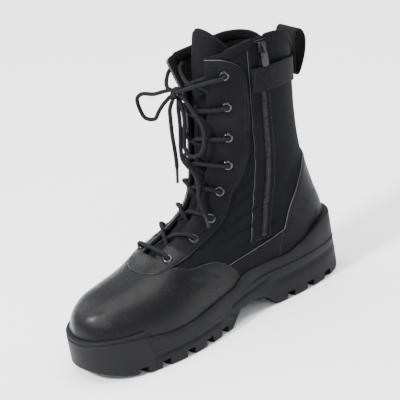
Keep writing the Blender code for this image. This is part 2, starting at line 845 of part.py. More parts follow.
def make_insole():
    """Plate on the sole's floor, inside the upper's lower edge."""
    inset = UPPER_WALL + INSOLE_MARGIN
    rows = [row for row in MESH_ROWS if row <= FIRST_SHAFT_ROW - 0.5]
    inner = [surface(row, 1.0) for row in rows]
    outer = [surface(row, -1.0) for row in rows[1:]]
    ring = inner + outer[::-1]
    mesh = bmesh.new()
    levels = [[], []]
    for k, point in enumerate(ring):
        tangent = ring[(k + 1) % len(ring)] - ring[k - 1]
        inward = Vector((-tangent.y, tangent.x, 0)).normalized()
        moved = point + inward * inset
        seat = seat_height((HEEL_CENTRE - moved.y) / LENGTH)
        levels[0].append(mesh.verts.new((moved.x, moved.y, seat + INSOLE_CLEARANCE)))
        levels[1].append(mesh.verts.new((moved.x, moved.y, seat + INSOLE_CLEARANCE + INSOLE)))
    count = len(ring)
    for k in range(count):
        after = (k + 1) % count
        mesh.faces.new((levels[0][k], levels[0][after], levels[1][after], levels[1][k]))
    for level in levels:
        half = count // 2
        for k in range(half):
            corners = []
            for vert in (level[k], level[k + 1], level[(count - k - 1) % count], level[(count - k) % count]):
                if vert not in corners:
                    corners.append(vert)
            if len(corners) > 2:
                mesh.faces.new(corners)
    bmesh.ops.recalc_face_normals(mesh, faces=mesh.faces)
    return add("insole", mesh, BOOT, MATERIALS["lining"])


def make_tongue():
    """Padded tongue under the throat, leaning into the boot at the top."""
    mesh = bmesh.new()
    columns = 6
    grid = []
    for index, (row, half, lean) in enumerate(TONGUE_ROWS):
        line = []
        for k in range(columns + 1):
            across = -1 + 2 * k / columns
            narrow = 1.0
            if index == len(TONGUE_ROWS) - 1:
                narrow = 1 - TONGUE_CORNER / 2
            share = across * half * narrow
            level = row - (TONGUE_CORNER * across**4 if index >= len(TONGUE_ROWS) - 2 else 0.0)
            depth = UPPER_WALL + TONGUE_CLEARANCE + lean * TONGUE_LEAN
            point = surface(level, share, False) - outward(level, share, False) * depth
            line.append(mesh.verts.new(point))
        grid.append(line)
    for low, high in zip(grid, grid[1:]):
        for k in range(columns):
            mesh.faces.new((low[k], low[k + 1], high[k + 1], high[k]))
    mesh.normal_update()
    tongue = add("tongue", mesh, BOOT, MATERIALS["textile"])
    wall(tongue, -TONGUE)
    return tongue


def rim_line(start, end, drop, steps=7):
    """Points a little below the sole's upper edge, where the overlays end inside its cup."""
    points = []
    for k in range(steps + 1):
        share = start + (end - start) * k / steps
        rim = INSTEP_HEIGHT * float(curve(column(SOLE_EDGE, 0), column(SOLE_EDGE, 1), share))
        points.append((share * LENGTH, rim - drop))
    return points


def panel(name, outline, side, thickness, material, lift=GAP):
    """Overlay: a layer on the upper, cut to an outline drawn on the side view. side is 1 for the inner side, -1
    for the outer and 0 for both."""
    layer = add(name, skin(lift, True), BOOT, MATERIALS[material])
    wall(layer, thickness)
    low = -BALL_WIDTH if side <= 0 else 0.0
    high = BALL_WIDTH if side >= 0 else 0.0
    cut(layer, side_prism(name + "_outline", outline, low, high), "INTERSECT")
    return layer


def make_overlays():
    half = SEAM / 2
    cup = 0.004
    flap_front = smooth_line(scaled(FLAP_FRONT))
    vamp_heel = smooth_line(scaled(VAMP_HEEL))
    counter_front = smooth_line(scaled(COUNTER_FRONT))
    facing_seam = smooth_line(scaled(FACING_SEAM))
    panel(
        "vamp",
        [(VAMP_RIM[1] * LENGTH, height(0.42)), (0.785 * LENGTH + half, height(0.42))]
        + shifted(flap_front, half, -half)
        + shifted(smooth_line(scaled(VAMP_REAR)), half, -half)[1:]
        + shifted(vamp_heel, half, -half)[1:]
        + rim_line(*VAMP_RIM, cup),
        0,
        LEATHER,
        "leather",
    )
    panel(
        "throat_flap",
        [(0.785 * LENGTH - half, height(0.43))]
        + shifted(flap_front, -half, half)
        + shifted(smooth_line(scaled(FLAP_LOWER)), half, half)[1:]
        + shifted(facing_seam, half, 0)[1:],
        0,
        FACING,
        "leather",
    )
    facing = (
        shifted(smooth_line(scaled(FACING_REAR)), -half, 0)
        + scaled(FACING_FRONT)
        + shifted(facing_seam, -half, 0)[:0:-1]
    )
    mudguard = (
        shifted(vamp_heel[2:], -half, -half)
        + rim_line(*MUDGUARD_RIM, cup, 4)
        + shifted(counter_front[:7], half, 0)
        + shifted(smooth_line(scaled(MUDGUARD_TOP)), 0, -half)[-2:0:-1]
    )
    for side, place_name in ((1, "inner"), (-1, "outer")):
        panel(f"facing_{place_name}", facing, side, FACING, "matt_leather")
        panel(f"mudguard_{place_name}", mudguard, side, LEATHER, "matt_leather")
    panel(
        "heel_counter",
        shifted(counter_front, -half, 0)
        + shifted(smooth_line(scaled(COUNTER_TOP)), -half, 0)[1:]
        + [(COUNTER_TOP[-1][0] * LENGTH, height(COUNTER_BASE))]
        + rim_line(*COUNTER_RIM, cup, 4),
        0,
        LEATHER,
        "matt_leather",
    )


def zip_band(front, rear, low):
    """Outline of a band along the zip, between two distances from its line."""
    line = smooth_line(scaled(ZIP_LINE), 2)
    line = [(y, max(z, low)) for y, z in line]
    return shifted(line, front) + shifted(line, -rear)[::-1]


def make_zip():
    low = height(ZIP_LINE[0][1])
    panel("zip_tape", zip_band(TAPE_FRONT, TAPE_REAR, low), 1, TAPE, "textile")
    panel("zip_chain", zip_band(CHAIN_HALF, CHAIN_HALF, low), 1, CHAIN, "dark_metal", 2 * GAP + TAPE)


def locate(y, z):
    """Row and share of the place on the inner side at a distance forward of the heel and a height."""
    low, high = 0.0, 1.0
    for _ in range(30):
        share = 0.5 * (low + high)
        row = row_at_height(share, z)
        if HEEL_CENTRE - surface(row, share).y > y:
            low = share
        else:
            high = share
    return row, share


def slider_frame():
    """Frame of the zip's slider: out from the upper, across to the heel, and up along the zip."""
    y = LENGTH * float(curve(column(ZIP_LINE, 1), column(ZIP_LINE, 0), SLIDER_PLACE))
    row, share = locate(y, height(SLIDER_PLACE))
    out = outward(row, share)
    out.y = 0.0
    out.normalize()
    across = Vector((0, 1, 0))
    up = out.cross(across)
    origin = surface(row, share)
    return Matrix((
        (out.x, across.x, up.x, origin.x),
        (out.y, across.y, up.y, origin.y),
        (out.z, across.z, up.z, origin.z),
        (0, 0, 0, 1),
    ))


def flat_solid(outline, start, end, axis, matrix):
    """Solid between two levels along one axis of a frame, from an outline in its other two axes."""
    mesh = bmesh.new()
    rings = []
    for level in (start, end):
        ring = []
        for a, b in outline:
            point = [a, b]
            point.insert(axis, level)
            ring.append(mesh.verts.new(matrix @ Vector(point)))
        rings.append(ring)
    count = len(outline)
    for k in range(count):
        mesh.faces.new((rings[0][k], rings[0][(k + 1) % count], rings[1][(k + 1) % count], rings[1][k]))
    mesh.faces.new(rings[0])
    mesh.faces.new(rings[1])
    bmesh.ops.recalc_face_normals(mesh, faces=mesh.faces)
    return mesh


def make_slider():
    frame = slider_frame()
    half = SLIDER_LENGTH / 2
    top, low = SLIDER_TOP_WIDTH / 2, SLIDER_LOW_WIDTH / 2
    body = [(-low, -half), (low, -half), (low, -half * 0.2), (top, half * 0.5), (top * 0.8, half),
            (-top * 0.8, half), (-top, half * 0.5), (-low, -half * 0.2)]
    slider = add(
        "zip_slider",
        flat_solid(body, SLIDER_BASE, SLIDER_BASE + SLIDER_BODY, 0, frame),
        BOOT,
        MATERIALS["dark_metal"],
    )
    face = SLIDER_BASE + SLIDER_BODY
    inside = face + BRIDGE_ROOM
    outside = inside + BRIDGE_BAR
    end = BRIDGE_LENGTH / 2
    arch = [
        (face - 0.5 * SLIDER_BODY, -end),
        (outside - 0.6 * BRIDGE_BAR, -end),
        (outside, -end + 0.6 * BRIDGE_BAR),
        (outside, end - 0.6 * BRIDGE_BAR),
        (outside - 0.6 * BRIDGE_BAR, end),
        (face - 0.5 * SLIDER_BODY, end),
        (face - 0.5 * SLIDER_BODY, end - BRIDGE_POST),
        (inside, end - BRIDGE_POST),
        (inside, -end + BRIDGE_POST),
        (face - 0.5 * SLIDER_BODY, -end + BRIDGE_POST),
    ]
    cutter = add_cutter("slider_bridge", flat_solid(arch, -BRIDGE_WIDTH / 2, BRIDGE_WIDTH / 2, 1, frame))
    cut(slider, cutter, "UNION")
    axle = frame @ Matrix.Translation((face + BRIDGE_ROOM / 2, 0.0, -PULL_OFFSET))
    wide = PULL_WIDTH / 2
    neck = BRIDGE_WIDTH / 2 + PULL_NECK_GAP
    tab = [
        (-neck - PULL_ARM, PULL_BAR / 2),
        (neck + PULL_ARM, PULL_BAR / 2),
        (neck + PULL_ARM, -PULL_WINDOW),
        (wide, -PULL_WINDOW - 0.0015),
        (wide, -PULL_LENGTH + 0.0018),
        (wide * 0.55, -PULL_LENGTH),
        (-wide * 0.55, -PULL_LENGTH),
        (-wide, -PULL_LENGTH + 0.0018),
        (-wide, -PULL_WINDOW - 0.0015),
        (-neck - PULL_ARM, -PULL_WINDOW),
    ]
    own = Matrix.Identity(4)
    pull = add(
        "zip_pull", flat_solid(tab, -PULL_THICKNESS / 2, PULL_THICKNESS / 2, 0, own), BOOT, MATERIALS["dark_metal"]
    )
    window = [(-neck, -PULL_BAR / 2), (neck, -PULL_BAR / 2), (neck, -PULL_WINDOW), (-neck, -PULL_WINDOW)]
    opening = add_cutter("pull_window", flat_solid(window, -PULL_THICKNESS, PULL_THICKNESS, 0, own))
    for thing in (pull, opening):
        thing.location = axle.translation
    cut(pull, opening)


def row_on_line(share, line):
    """Row where a line of constant share crosses a line drawn on the side view."""
    ys, zs = column(line, 0), column(line, 1)
    low, high = float(FIRST_SHAFT_ROW), float(VIRTUAL_TOP)
    for _ in range(40):
        row = 0.5 * (low + high)
        point = surface(row, share)
        if point.z < float(np.interp(HEEL_CENTRE - point.y, ys, zs)):
            low = row
        else:
            high = row
    return row


def make_strap():
    """Ankle strap over the zip, from the facing to just past the back."""
    line = scaled(STRAP_LINE)
    mesh = bmesh.new()
    grid = []
    count = 18
    first, last = STRAP_LIFT[0][0], STRAP_LIFT[-1][0]
    for k in range(count + 1):
        share = first + (last - first) * k / count
        lift = GAP + ZIP_HEIGHT * float(np.interp(share, column(STRAP_LIFT, 0), column(STRAP_LIFT, 1)))
        real = share if share <= 1.0 else share - 2.0
        points = []
        for edge in (-1, 0, 1):
            shifted_line = [(y, z + edge * STRAP_WIDTH / 2) for y, z in line]
            row = row_on_line(real, shifted_line)
            points.append(mesh.verts.new(surface(row, real) + outward(row, real) * lift))
        grid.append(points)
    for near, far in zip(grid, grid[1:]):
        for k in range(2):
            mesh.faces.new((near[k], far[k], far[k + 1], near[k + 1]))
    mesh.normal_update()
    strap = add("ankle_strap", mesh, BOOT, MATERIALS["textile"])
    wall(strap, STRAP)
    return strap


def make_pull_loop():
    """Closed loop of flat webbing behind the collar."""
    count = len(PULL_LOOP)
    seat = surface(row_on_line(1.0, scaled(STRAP_LINE)), 1.0)
    mesh = bmesh.new()
    ring = []
    steps = 2
    path = []
    closed = [*PULL_LOOP[-2:], *PULL_LOOP, *PULL_LOOP[:2]]
    for k in range(count * steps):
        path.append(Vector(curve(list(range(-2, count + 2)), closed, k / steps)))
    for k, point in enumerate(path):
        tangent = (path[(k + 1) % len(path)] - path[k - 1]).normalized()
        normal = Vector((-tangent.y, tangent.x)) * (STRAP / 2)
        corners = []
        for out, x in ((1, 1), (1, -1), (-1, -1), (-1, 1)):
            y, z = point + normal * out
            corners.append(mesh.verts.new(seat + Vector((x * PULL_LOOP_WIDTH / 2, -y, z))))
        ring.append(corners)
    for k in range(len(ring)):
        here, after = ring[k], ring[(k + 1) % len(ring)]
        for j in range(4):
            mesh.faces.new((here[j], here[(j + 1) % 4], after[(j + 1) % 4], after[j]))
    bmesh.ops.recalc_face_normals(mesh, faces=mesh.faces)
    return add("pull_loop", mesh, BOOT, MATERIALS["textile"])


def eyelet_frame(row, share):
    out = outward(row, share)
    return Matrix.Translation(surface(row, share)) @ out.to_track_quat("Z", "Y").to_matrix().to_4x4()


def seat_under(frame, tree, radius):
    """Heights of the facing's face at the middle of a ring and at its highest place under the ring."""
    far = 0.02
    down = frame.to_3x3() @ Vector((0, 0, -1))
    heights = []
    for k in range(2 * EYELET_SIDES + 1):
        angle = math.pi * k / EYELET_SIDES
        reach = radius if k else 0.0
        start = frame @ Vector((reach * math.cos(angle), reach * math.sin(angle), far))
        distance = tree.ray_cast(start, down)[3]
        if distance is not None:
            heights.append(far - distance)
    return heights[0], max(heights)


def make_eyelets():
    """Holes through the upper and its facings, and the rings that line them."""
    holes = bmesh.new()
    tree = BVHTree.FromBMesh(skin(GAP + FACING, False))
    for index, (row, share) in enumerate(EYELETS):
        for side, side_name in ((1, "inner"), (-1, "outer")):
            frame = eyelet_frame(row, side * share)
            bmesh.ops.create_cone(
                holes, segments=8, radius1=EYELET_HOLE, radius2=EYELET_HOLE, depth=0.014, cap_ends=True, matrix=frame
            )
            middle, highest = seat_under(frame, tree, EYELET_FLANGE)
            face = highest + EYELET_SEAT
            tail = middle - FACING - GAP - UPPER_WALL - EYELET_TAIL
            profile = (
                (EYELET_BORE, face + EYELET_HEIGHT),
                (EYELET_FLANGE, face),
                (EYELET_HOLE - GAP, face),
                (EYELET_HOLE - GAP, tail),
                (EYELET_BORE, tail),
            )
            mesh = bmesh.new()
            rings = []
            for k in range(EYELET_SIDES):
                angle = 2 * math.pi * k / EYELET_SIDES
                turn = Matrix.Rotation(angle, 4, "Z")
                rings.append([mesh.verts.new(frame @ turn @ Vector((r, 0, h))) for r, h in profile])
            for k in range(EYELET_SIDES):
                here, after = rings[k], rings[(k + 1) % EYELET_SIDES]
                for j in range(len(profile)):
                    following = (j + 1) % len(profile)
                    mesh.faces.new((here[j], after[j], after[following], here[following]))
            bmesh.ops.recalc_face_normals(mesh, faces=mesh.faces)
            add(f"eyelet_{side_name}_{index + 1}", mesh, BOOT, MATERIALS["dark_metal"])
    return add_cutter("eyelet_holes", holes)


def lace_point(row, share, reach):
    """Point on the lace's middle line, where reach is the share of the eyelet that the lace runs to."""
    lift = LACE_LIFT + LACE_RISE * min(1.0, abs(share) / (LACE_SHOULDER * reach))
    return surface(row, share) + outward(row, share) * lift


def lace_span(start, end, steps=4):
    """Route of the lace across the throat between two eyelets, each given as a row and a signed share."""
    points = []
    for k in range(steps + 1):
        t = k / steps
        row = start[0] + (end[0] - start[0]) * t
        share = start[1] + (end[1] - start[1]) * t
        points.append(lace_point(row, share, abs(start[1] if t < 0.5 else end[1])))
    return points


def make_lacing():
    """All crossings of the lace as one solid."""
    spans = []
    for (row, share), (next_row, next_share) in zip(EYELETS, EYELETS[1:]):
        spans.append(lace_span((row, share), (next_row, -next_share)))
        spans.append(lace_span((row, -share), (next_row, next_share)))
    row, share = EYELETS[-1]
    spans.append(lace_span((row, share), (row, -share)))
    top_row, top_share = EYELETS[0]
    knot = place(KNOT[1], KNOT[0], KNOT[2])
    for side, offset in KNOT_ENTRIES:
        near = lace_span((top_row, side * top_share), (top_row - TOP_DROP, side * TOP_SHARE))
        spans.append([*near, knot + Vector(offset)])
    lacing = add("lacing", tube("lacing_1", spans[0], LACE_DIAMETER, 1), BOOT, MATERIALS["lace"])
    for index, span in enumerate(spans[1:]):
        cut(lacing, add_cutter(f"lacing_{index + 2}", tube(f"lacing_{index + 2}", span, LACE_DIAMETER, 1)), "UNION")
    return lacing


def make_bow():
    mesh = bmesh.new()
    knot = place(KNOT[1], KNOT[0], KNOT[2])
    bmesh.ops.create_uvsphere(
        mesh, u_segments=10, v_segments=7, radius=1.0, matrix=Matrix.Translation(knot) @ Matrix.Diagonal((*KNOT_SIZE, 1.0))
    )
    add("lace_knot", mesh, BOOT, MATERIALS["lace"])
    for name, route, steps in (
        ("lace_loop_outer", LOOP_OUTER, 1),
        ("lace_loop_inner", LOOP_INNER, 1),
        ("lace_end_outer", END_OUTER, 1),
        ("lace_end_inner", END_INNER, 1),
    ):
        smooth = smooth_line([(x, HEEL_CENTRE - y, z) for x, y, z in route], steps)
        add(name, tube(name, smooth, LACE_DIAMETER), BOOT, MATERIALS["lace"])


bpy.context.view_layer.update()
for old in list(bpy.data.objects):
    bpy.data.objects.remove(old)

BOOT = new_collection("combat_boot", False)
CUTTERS = new_collection("cutters", True)
MATERIALS = {
    "rubber": new_material("rubber", (0.030, 0.030, 0.032), 0.55),
    "canvas": new_material("canvas", (0.020, 0.020, 0.026), 0.85),
    "leather": new_material("leather", (0.012, 0.012, 0.014), 0.30),
    "matt_leather": new_material("matt_leather", (0.022, 0.022, 0.025), 0.50),
    "textile": new_material("textile", (0.022, 0.022, 0.026), 0.90),
    "lace": new_material("lace", (0.018, 0.018, 0.020), 0.85),
    "dark_metal": new_material("dark_metal", (0.10, 0.10, 0.11), 0.25, 1.0),
    "lining": new_material("lining", (0.015, 0.015, 0.016), 0.95),
}
LAST_FORM = make_last_form()
make_outsole()
make_insole()
HOLES = make_eyelets()
upper = add("upper", skin(0.0, True), BOOT, MATERIALS["canvas"])
wall(upper, -UPPER_WALL)
cut(upper, HOLES)
make_tongue()
make_overlays()
for name in ("facing_inner", "facing_outer", "throat_flap"):
    cut(bpy.data.objects[name], HOLES)
make_zip()
make_slider()
make_strap()
make_pull_loop()
make_lacing()
make_bow()
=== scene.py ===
"""Looks of the combat boot: leather, canvas, webbing, laces, zip and rubber around the packed solids.

Metres, +Z up, in the frame of the solids. The toe points to -Y and the zip, on the inner side of the foot,
to +X.
"""

import math

import bmesh
import bpy
import numpy as np
from bpy.props import FloatProperty, FloatVectorProperty, PointerProperty
from mathutils import Matrix, Vector
from mathutils.geometry import delaunay_2d_cdt


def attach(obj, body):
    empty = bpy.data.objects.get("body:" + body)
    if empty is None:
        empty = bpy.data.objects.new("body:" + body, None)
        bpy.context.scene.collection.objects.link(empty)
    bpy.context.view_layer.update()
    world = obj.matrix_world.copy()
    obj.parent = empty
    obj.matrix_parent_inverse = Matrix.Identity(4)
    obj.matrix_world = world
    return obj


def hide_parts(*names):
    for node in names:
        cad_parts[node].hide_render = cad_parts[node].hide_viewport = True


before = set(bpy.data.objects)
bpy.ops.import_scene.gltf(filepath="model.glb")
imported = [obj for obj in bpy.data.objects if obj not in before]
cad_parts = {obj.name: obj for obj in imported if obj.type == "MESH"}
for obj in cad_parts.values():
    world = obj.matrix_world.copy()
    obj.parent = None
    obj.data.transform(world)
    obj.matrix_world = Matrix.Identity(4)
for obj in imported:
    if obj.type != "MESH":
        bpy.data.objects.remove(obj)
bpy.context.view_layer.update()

bl_info = {
    "name": "Combat boot looks",
    "version": (1, 0, 0),
    "blender": (4, 5, 0),
    "location": "View3D > Sidebar > Boot",
    "description": "Dresses the solids of a combat boot with leather, canvas, laces, zip and lugged rubber",
    "category": "Object",
}

# Driving sizes of the boot
LENGTH = 0.298
BALL_WIDTH = 0.109
INSTEP_HEIGHT = 0.111
SHAFT_HEIGHT = 0.264
HEEL_SEAT = 0.031
BALL_SEAT = 0.0175
TOE_SEAT = 0.024
HEEL_CENTRE = 0.066
# Share of SHAFT_HEIGHT at which the tables put the instep
INSTEP_SHARE = 0.4205

# Walls, layers and clearances
UPPER_WALL = 0.0022
LEATHER = 0.0014
FACING = 0.0022
GAP = 0.0003
MARGIN_LIFT = 0.0008
TAPE = 0.0008
STRAP = 0.0015
TONGUE = 0.0038
TONGUE_CLEARANCE = 0.0011
LACE_DIAMETER = 0.0039

# Sections over the forefoot and instep, from the toe's stem to the heel. Each is half an arc from the
# ridge down to the feather line. Columns: ridge y and base y as shares of LENGTH from the back of the
# heel, ridge height as a share of INSTEP_HEIGHT, inner and outer half widths as shares of BALL_WIDTH, the
# angle that the arc turns through in degrees, and its squareness, where 2 is an ellipse.
FOOT_SECTIONS = (
    (0.986, 0.400, 0.986, 0.000, 0.000, 95, 2.30),
    (0.974, 0.500, 0.976, 0.142, 0.142, 95, 2.30),
    (0.946, 0.570, 0.951, 0.243, 0.248, 96, 2.35),
    (0.893, 0.622, 0.901, 0.344, 0.353, 98, 2.40),
    (0.822, 0.648, 0.832, 0.399, 0.417, 100, 2.40),
    (0.738, 0.694, 0.748, 0.431, 0.468, 100, 2.30),
    (0.658, 0.811, 0.658, 0.427, 0.472, 100, 2.10),
    (0.584, 0.896, 0.554, 0.376, 0.436, 100, 2.00),
    (0.527, 1.000, 0.436, 0.317, 0.367, 102, 1.90),
    (0.493, 1.117, 0.309, 0.312, 0.330, 106, 1.90),
    (0.475, 1.234, 0.181, 0.322, 0.331, 118, 1.95),
    (0.465, 1.324, 0.081, 0.322, 0.330, 138, 2.00),
)
# Sections of the shaft, closed round the back of the leg. Columns: ridge y and back y as shares of LENGTH,
# ridge and back heights as shares of SHAFT_HEIGHT, half widths as shares of BALL_WIDTH, and squareness.
SHAFT_SECTIONS = (
    (0.458, 0.595, 0.030, 0.152, 0.328, 0.334, 2.05),
    (0.450, 0.636, 0.028, 0.250, 0.344, 0.344, 2.05),
    (0.441, 0.686, 0.050, 0.348, 0.344, 0.344, 2.05),
    (0.433, 0.746, 0.070, 0.462, 0.347, 0.347, 2.05),
    (0.425, 0.818, 0.078, 0.591, 0.353, 0.353, 2.10),
    (0.418, 0.902, 0.071, 0.739, 0.367, 0.367, 2.10),
    (0.413, 0.992, 0.060, 0.879, 0.385, 0.385, 2.15),
    (0.406, 1.080, 0.052, 1.015, 0.399, 0.399, 2.15),
)
FIRST_SHAFT_ROW = len(FOOT_SECTIONS)
THROAT_ROW = 5.7
VIRTUAL_TOP = FIRST_SHAFT_ROW + len(SHAFT_SECTIONS) - 1
# Half width of the throat opening as a share of the arc. Columns: row along the boot, share.
THROAT_WIDTH = (
    (5.7, 0.110), (7.4, 0.145), (8.7, 0.160), (10.4, 0.145), (12.8, 0.118), (15.0, 0.128), (19.0, 0.150)
)
# Height of the collar's edge as shares of SHAFT_HEIGHT. Columns: share of the arc from the ridge to the
# back, inner side, outer side.
COLLAR_EDGE = (
    (0.00, 0.965, 0.940), (0.20, 0.972, 0.940), (0.42, 1.000, 0.940), (0.62, 0.992, 0.945),
    (0.78, 0.945, 0.925), (0.90, 0.885, 0.880), (1.00, 0.862, 0.862),
)
# Mesh rows along the boot
MESH_ROWS = (
    0, 0.5, 1, 1.6, 2.3, 3.1, 4, 4.9, THROAT_ROW, 6.5, 7.4, 8.3, 9.1, 9.8, 10.5, 11.2, 12, 13, 14.3, 15.6,
    16.8, 18,
)

# Outline of the outsole. Columns: distance from the back of the heel as a share of LENGTH, inner and
# outer half widths as shares of BALL_WIDTH. In the first and last rows the widths are the radii of the
# round ends.
SOLE_OUTLINE = (
    (0.000, 0.340, 0.340), (0.067, 0.278, 0.283), (0.151, 0.338, 0.347), (0.252, 0.354, 0.362),
    (0.369, 0.346, 0.378), (0.503, 0.385, 0.440), (0.604, 0.450, 0.505), (0.688, 0.477, 0.523),
    (0.772, 0.468, 0.500), (0.839, 0.436, 0.454), (0.889, 0.390, 0.404), (0.940, 0.312, 0.321),
    (1.000, 0.410, 0.410),
)
# Height of the sole's upper edge behind the bumper. Columns: share of LENGTH, share of INSTEP_HEIGHT.
SOLE_EDGE = (
    (0.000, 0.559), (0.040, 0.555), (0.095, 0.532), (0.148, 0.488), (0.185, 0.455), (0.235, 0.416),
    (0.295, 0.418), (0.395, 0.418), (0.430, 0.405), (0.462, 0.352), (0.520, 0.330), (0.604, 0.300),
    (0.700, 0.275), (0.780, 0.288), (0.825, 0.312),
)
# Height of the tread. Columns: share of LENGTH, height as a share of HEEL_SEAT.
TREAD = (
    (0.000, 0.29), (0.036, 0.00), (0.322, 0.00), (0.348, 0.30), (0.376, 0.46), (0.430, 0.53),
    (0.470, 0.42), (0.500, 0.12), (0.512, 0.00), (0.845, 0.00), (0.925, 0.08), (1.000, 0.29),
)
BUMPER_START = 0.836
BUMPER_HEIGHT = 0.041
BUMPER_PROUD = 0.0012
BUMPER_LIP = 0.0035
SOLE_CHAMFER = 0.003
SOLE_DRAFT = 0.0012
SIDE_GROOVE = 0.0012
HEEL_STEP_HEIGHT = 0.036

# Lines of the overlays as the inner side shows them, in shares of LENGTH and SHAFT_HEIGHT
FLAP_FRONT = ((0.785, 0.400), (0.785, 0.306), (0.760, 0.291), (0.712, 0.288))
FLAP_LOWER = ((0.712, 0.288), (0.658, 0.301), (0.601, 0.3125))
VAMP_REAR = ((0.712, 0.288), (0.658, 0.297), (0.612, 0.277), (0.529, 0.263), (0.483, 0.237))
VAMP_HEEL = ((0.483, 0.237), (0.472, 0.2245), (0.455, 0.200), (0.446, 0.175), (0.442, 0.152))
FACING_SEAM = ((0.601, 0.3125), (0.626, 0.352), (0.640, 0.430))
FACING_REAR = (
    (0.601, 0.3125), (0.492, 0.347), (0.436, 0.390), (0.395, 0.467), (0.364, 0.514), (0.337, 0.572),
    (0.324, 0.629), (0.308, 0.740), (0.303, 0.829), (0.304, 0.885), (0.326, 0.929), (0.360, 0.955),
    (0.391, 0.962), (0.440, 0.966),
)
MUDGUARD_TOP = ((0.472, 0.2245), (0.414, 0.233), (0.363, 0.242), (0.309, 0.253), (0.246, 0.269))
COUNTER_FRONT = (
    (0.286, 0.160), (0.280, 0.179), (0.261, 0.237), (0.246, 0.269), (0.239, 0.283), (0.216, 0.337),
    (0.190, 0.385),
)
COUNTER_TOP = ((0.190, 0.385), (0.150, 0.440), (0.095, 0.490), (-0.030, 0.520))
# Where the overlays' lower edges start and end along the sole's rim, as shares of LENGTH
VAMP_RIM = (0.460, 0.550)
MUDGUARD_RIM = (0.430, 0.300)
COUNTER_RIM = (0.045, 0.270)
COUNTER_BACK = 0.030
ZIP_LINE = (
    (0.330, 0.268), (0.298, 0.404), (0.279, 0.507), (0.267, 0.599), (0.257, 0.771), (0.250, 0.890),
    (0.246, 1.010),
)
TAPE_FRONT = 0.013
TAPE_REAR = 0.008
# Middle line of the ankle strap and its width, as the inner side shows it
STRAP_LINE = ((-0.020, 0.798), (0.095, 0.826), (0.165, 0.848), (0.245, 0.857), (0.306, 0.860))
STRAP_WIDTH = 0.0245
# Cross-sections along the strap, and how far webbing's thin edges reach in
STRAP_STEPS = 120
WEBBING_EDGE = 0.0005
# How far the strap lies off the upper. Columns: share of the arc from the facing to past the back, lift
# as a multiple of the zip's height.
STRAP_LIFT = (
    (0.422, 0.62), (0.436, 0.90), (0.450, 1.10), (0.560, 1.10), (0.650, 0.65),
    (0.780, 0.15), (1.160, 0.15),
)
ZIP_HEIGHT = 0.0034
LUG_DEPTH = 0.0055
LUG_GAP = 0.0065
HEEL_CHANNELS = (0.180, 0.264)
HEEL_NOTCH = 0.098
FOREFOOT_CHANNELS = (0.552, 0.622, 0.700, 0.790, 0.864)
# Slots along the middle of the tread: starts and ends as shares of LENGTH, then their depth and width
TREAD_RUNS = ((0.085, 0.290), (0.545, 0.905))
RUN_DEPTH = 0.0042
RUN_WIDTH = 0.0048
# Blocks that cut the sole: height, and how long those of the side are and how far out their middles lie
BLOCK_DEPTH = LENGTH / 10
NOTCH_LENGTH = 0.040
NOTCH_OUT = 0.015

# The outer side's front edge stands open at the collar: how far it leans out and forwards, and the rows
# it does so in
FLARE_OUT = 0.012
FLARE_FORWARD = 0.009
FLARE_ROWS = (15.6, 18.0)

# Eyelets, from the collar down. Columns: row along the boot, share of the arc from the ridge.
EYELETS = (
    (17.24, 0.264), (16.05, 0.267), (14.60, 0.255), (12.82, 0.240), (10.38, 0.286), (8.67, 0.340),
    (7.36, 0.314), (5.98, 0.246),
)
EYELET_HOLE = 0.0031
# Radius of the holes in the leather
LACE_HOLE = 0.0026
EYELET_TAIL = 0.0017
# Section of an eyelet in millimetres: radius and height over the leather, then both radii of its barrel
EYELET_FACE = (
    (2.30, 0.45), (2.45, 0.82), (2.90, 1.02), (3.60, 0.98), (4.40, 0.66), (4.85, 0.10), (4.80, -0.30),
    (2.60, -0.30),
)
EYELET_BARREL = (2.60, 2.30)

# Tongue. Columns: row, half width as a share of the arc, lean into the boot as a multiple of TONGUE_LEAN.
TONGUE_ROWS = (
    (5.25, 0.160, 0.00), (5.85, 0.162, 0.00), (6.45, 0.166, 0.00), (7.05, 0.177, 0.00),
    (7.65, 0.190, 0.00), (8.25, 0.203, 0.00), (8.85, 0.208, 0.00), (9.40, 0.207, 0.00),
    (9.90, 0.204, 0.00), (10.40, 0.197, 0.00), (10.90, 0.187, 0.00), (11.50, 0.174, 0.00),
    (12.20, 0.168, 0.00), (13.20, 0.168, 0.02), (14.60, 0.182, 0.08), (16.00, 0.200, 0.24),
    (17.20, 0.217, 0.52), (18.10, 0.226, 0.82), (18.70, 0.226, 1.00),
)
TONGUE_LEAN = 0.011
# The tongue's top: rows from which it widens and fills out, how much wider it gets, and its dome in rows
TONGUE_WIDENS, TONGUE_FILLS = 15.2, 14.5
TONGUE_WIDER = 0.42
TONGUE_DOME = 0.62

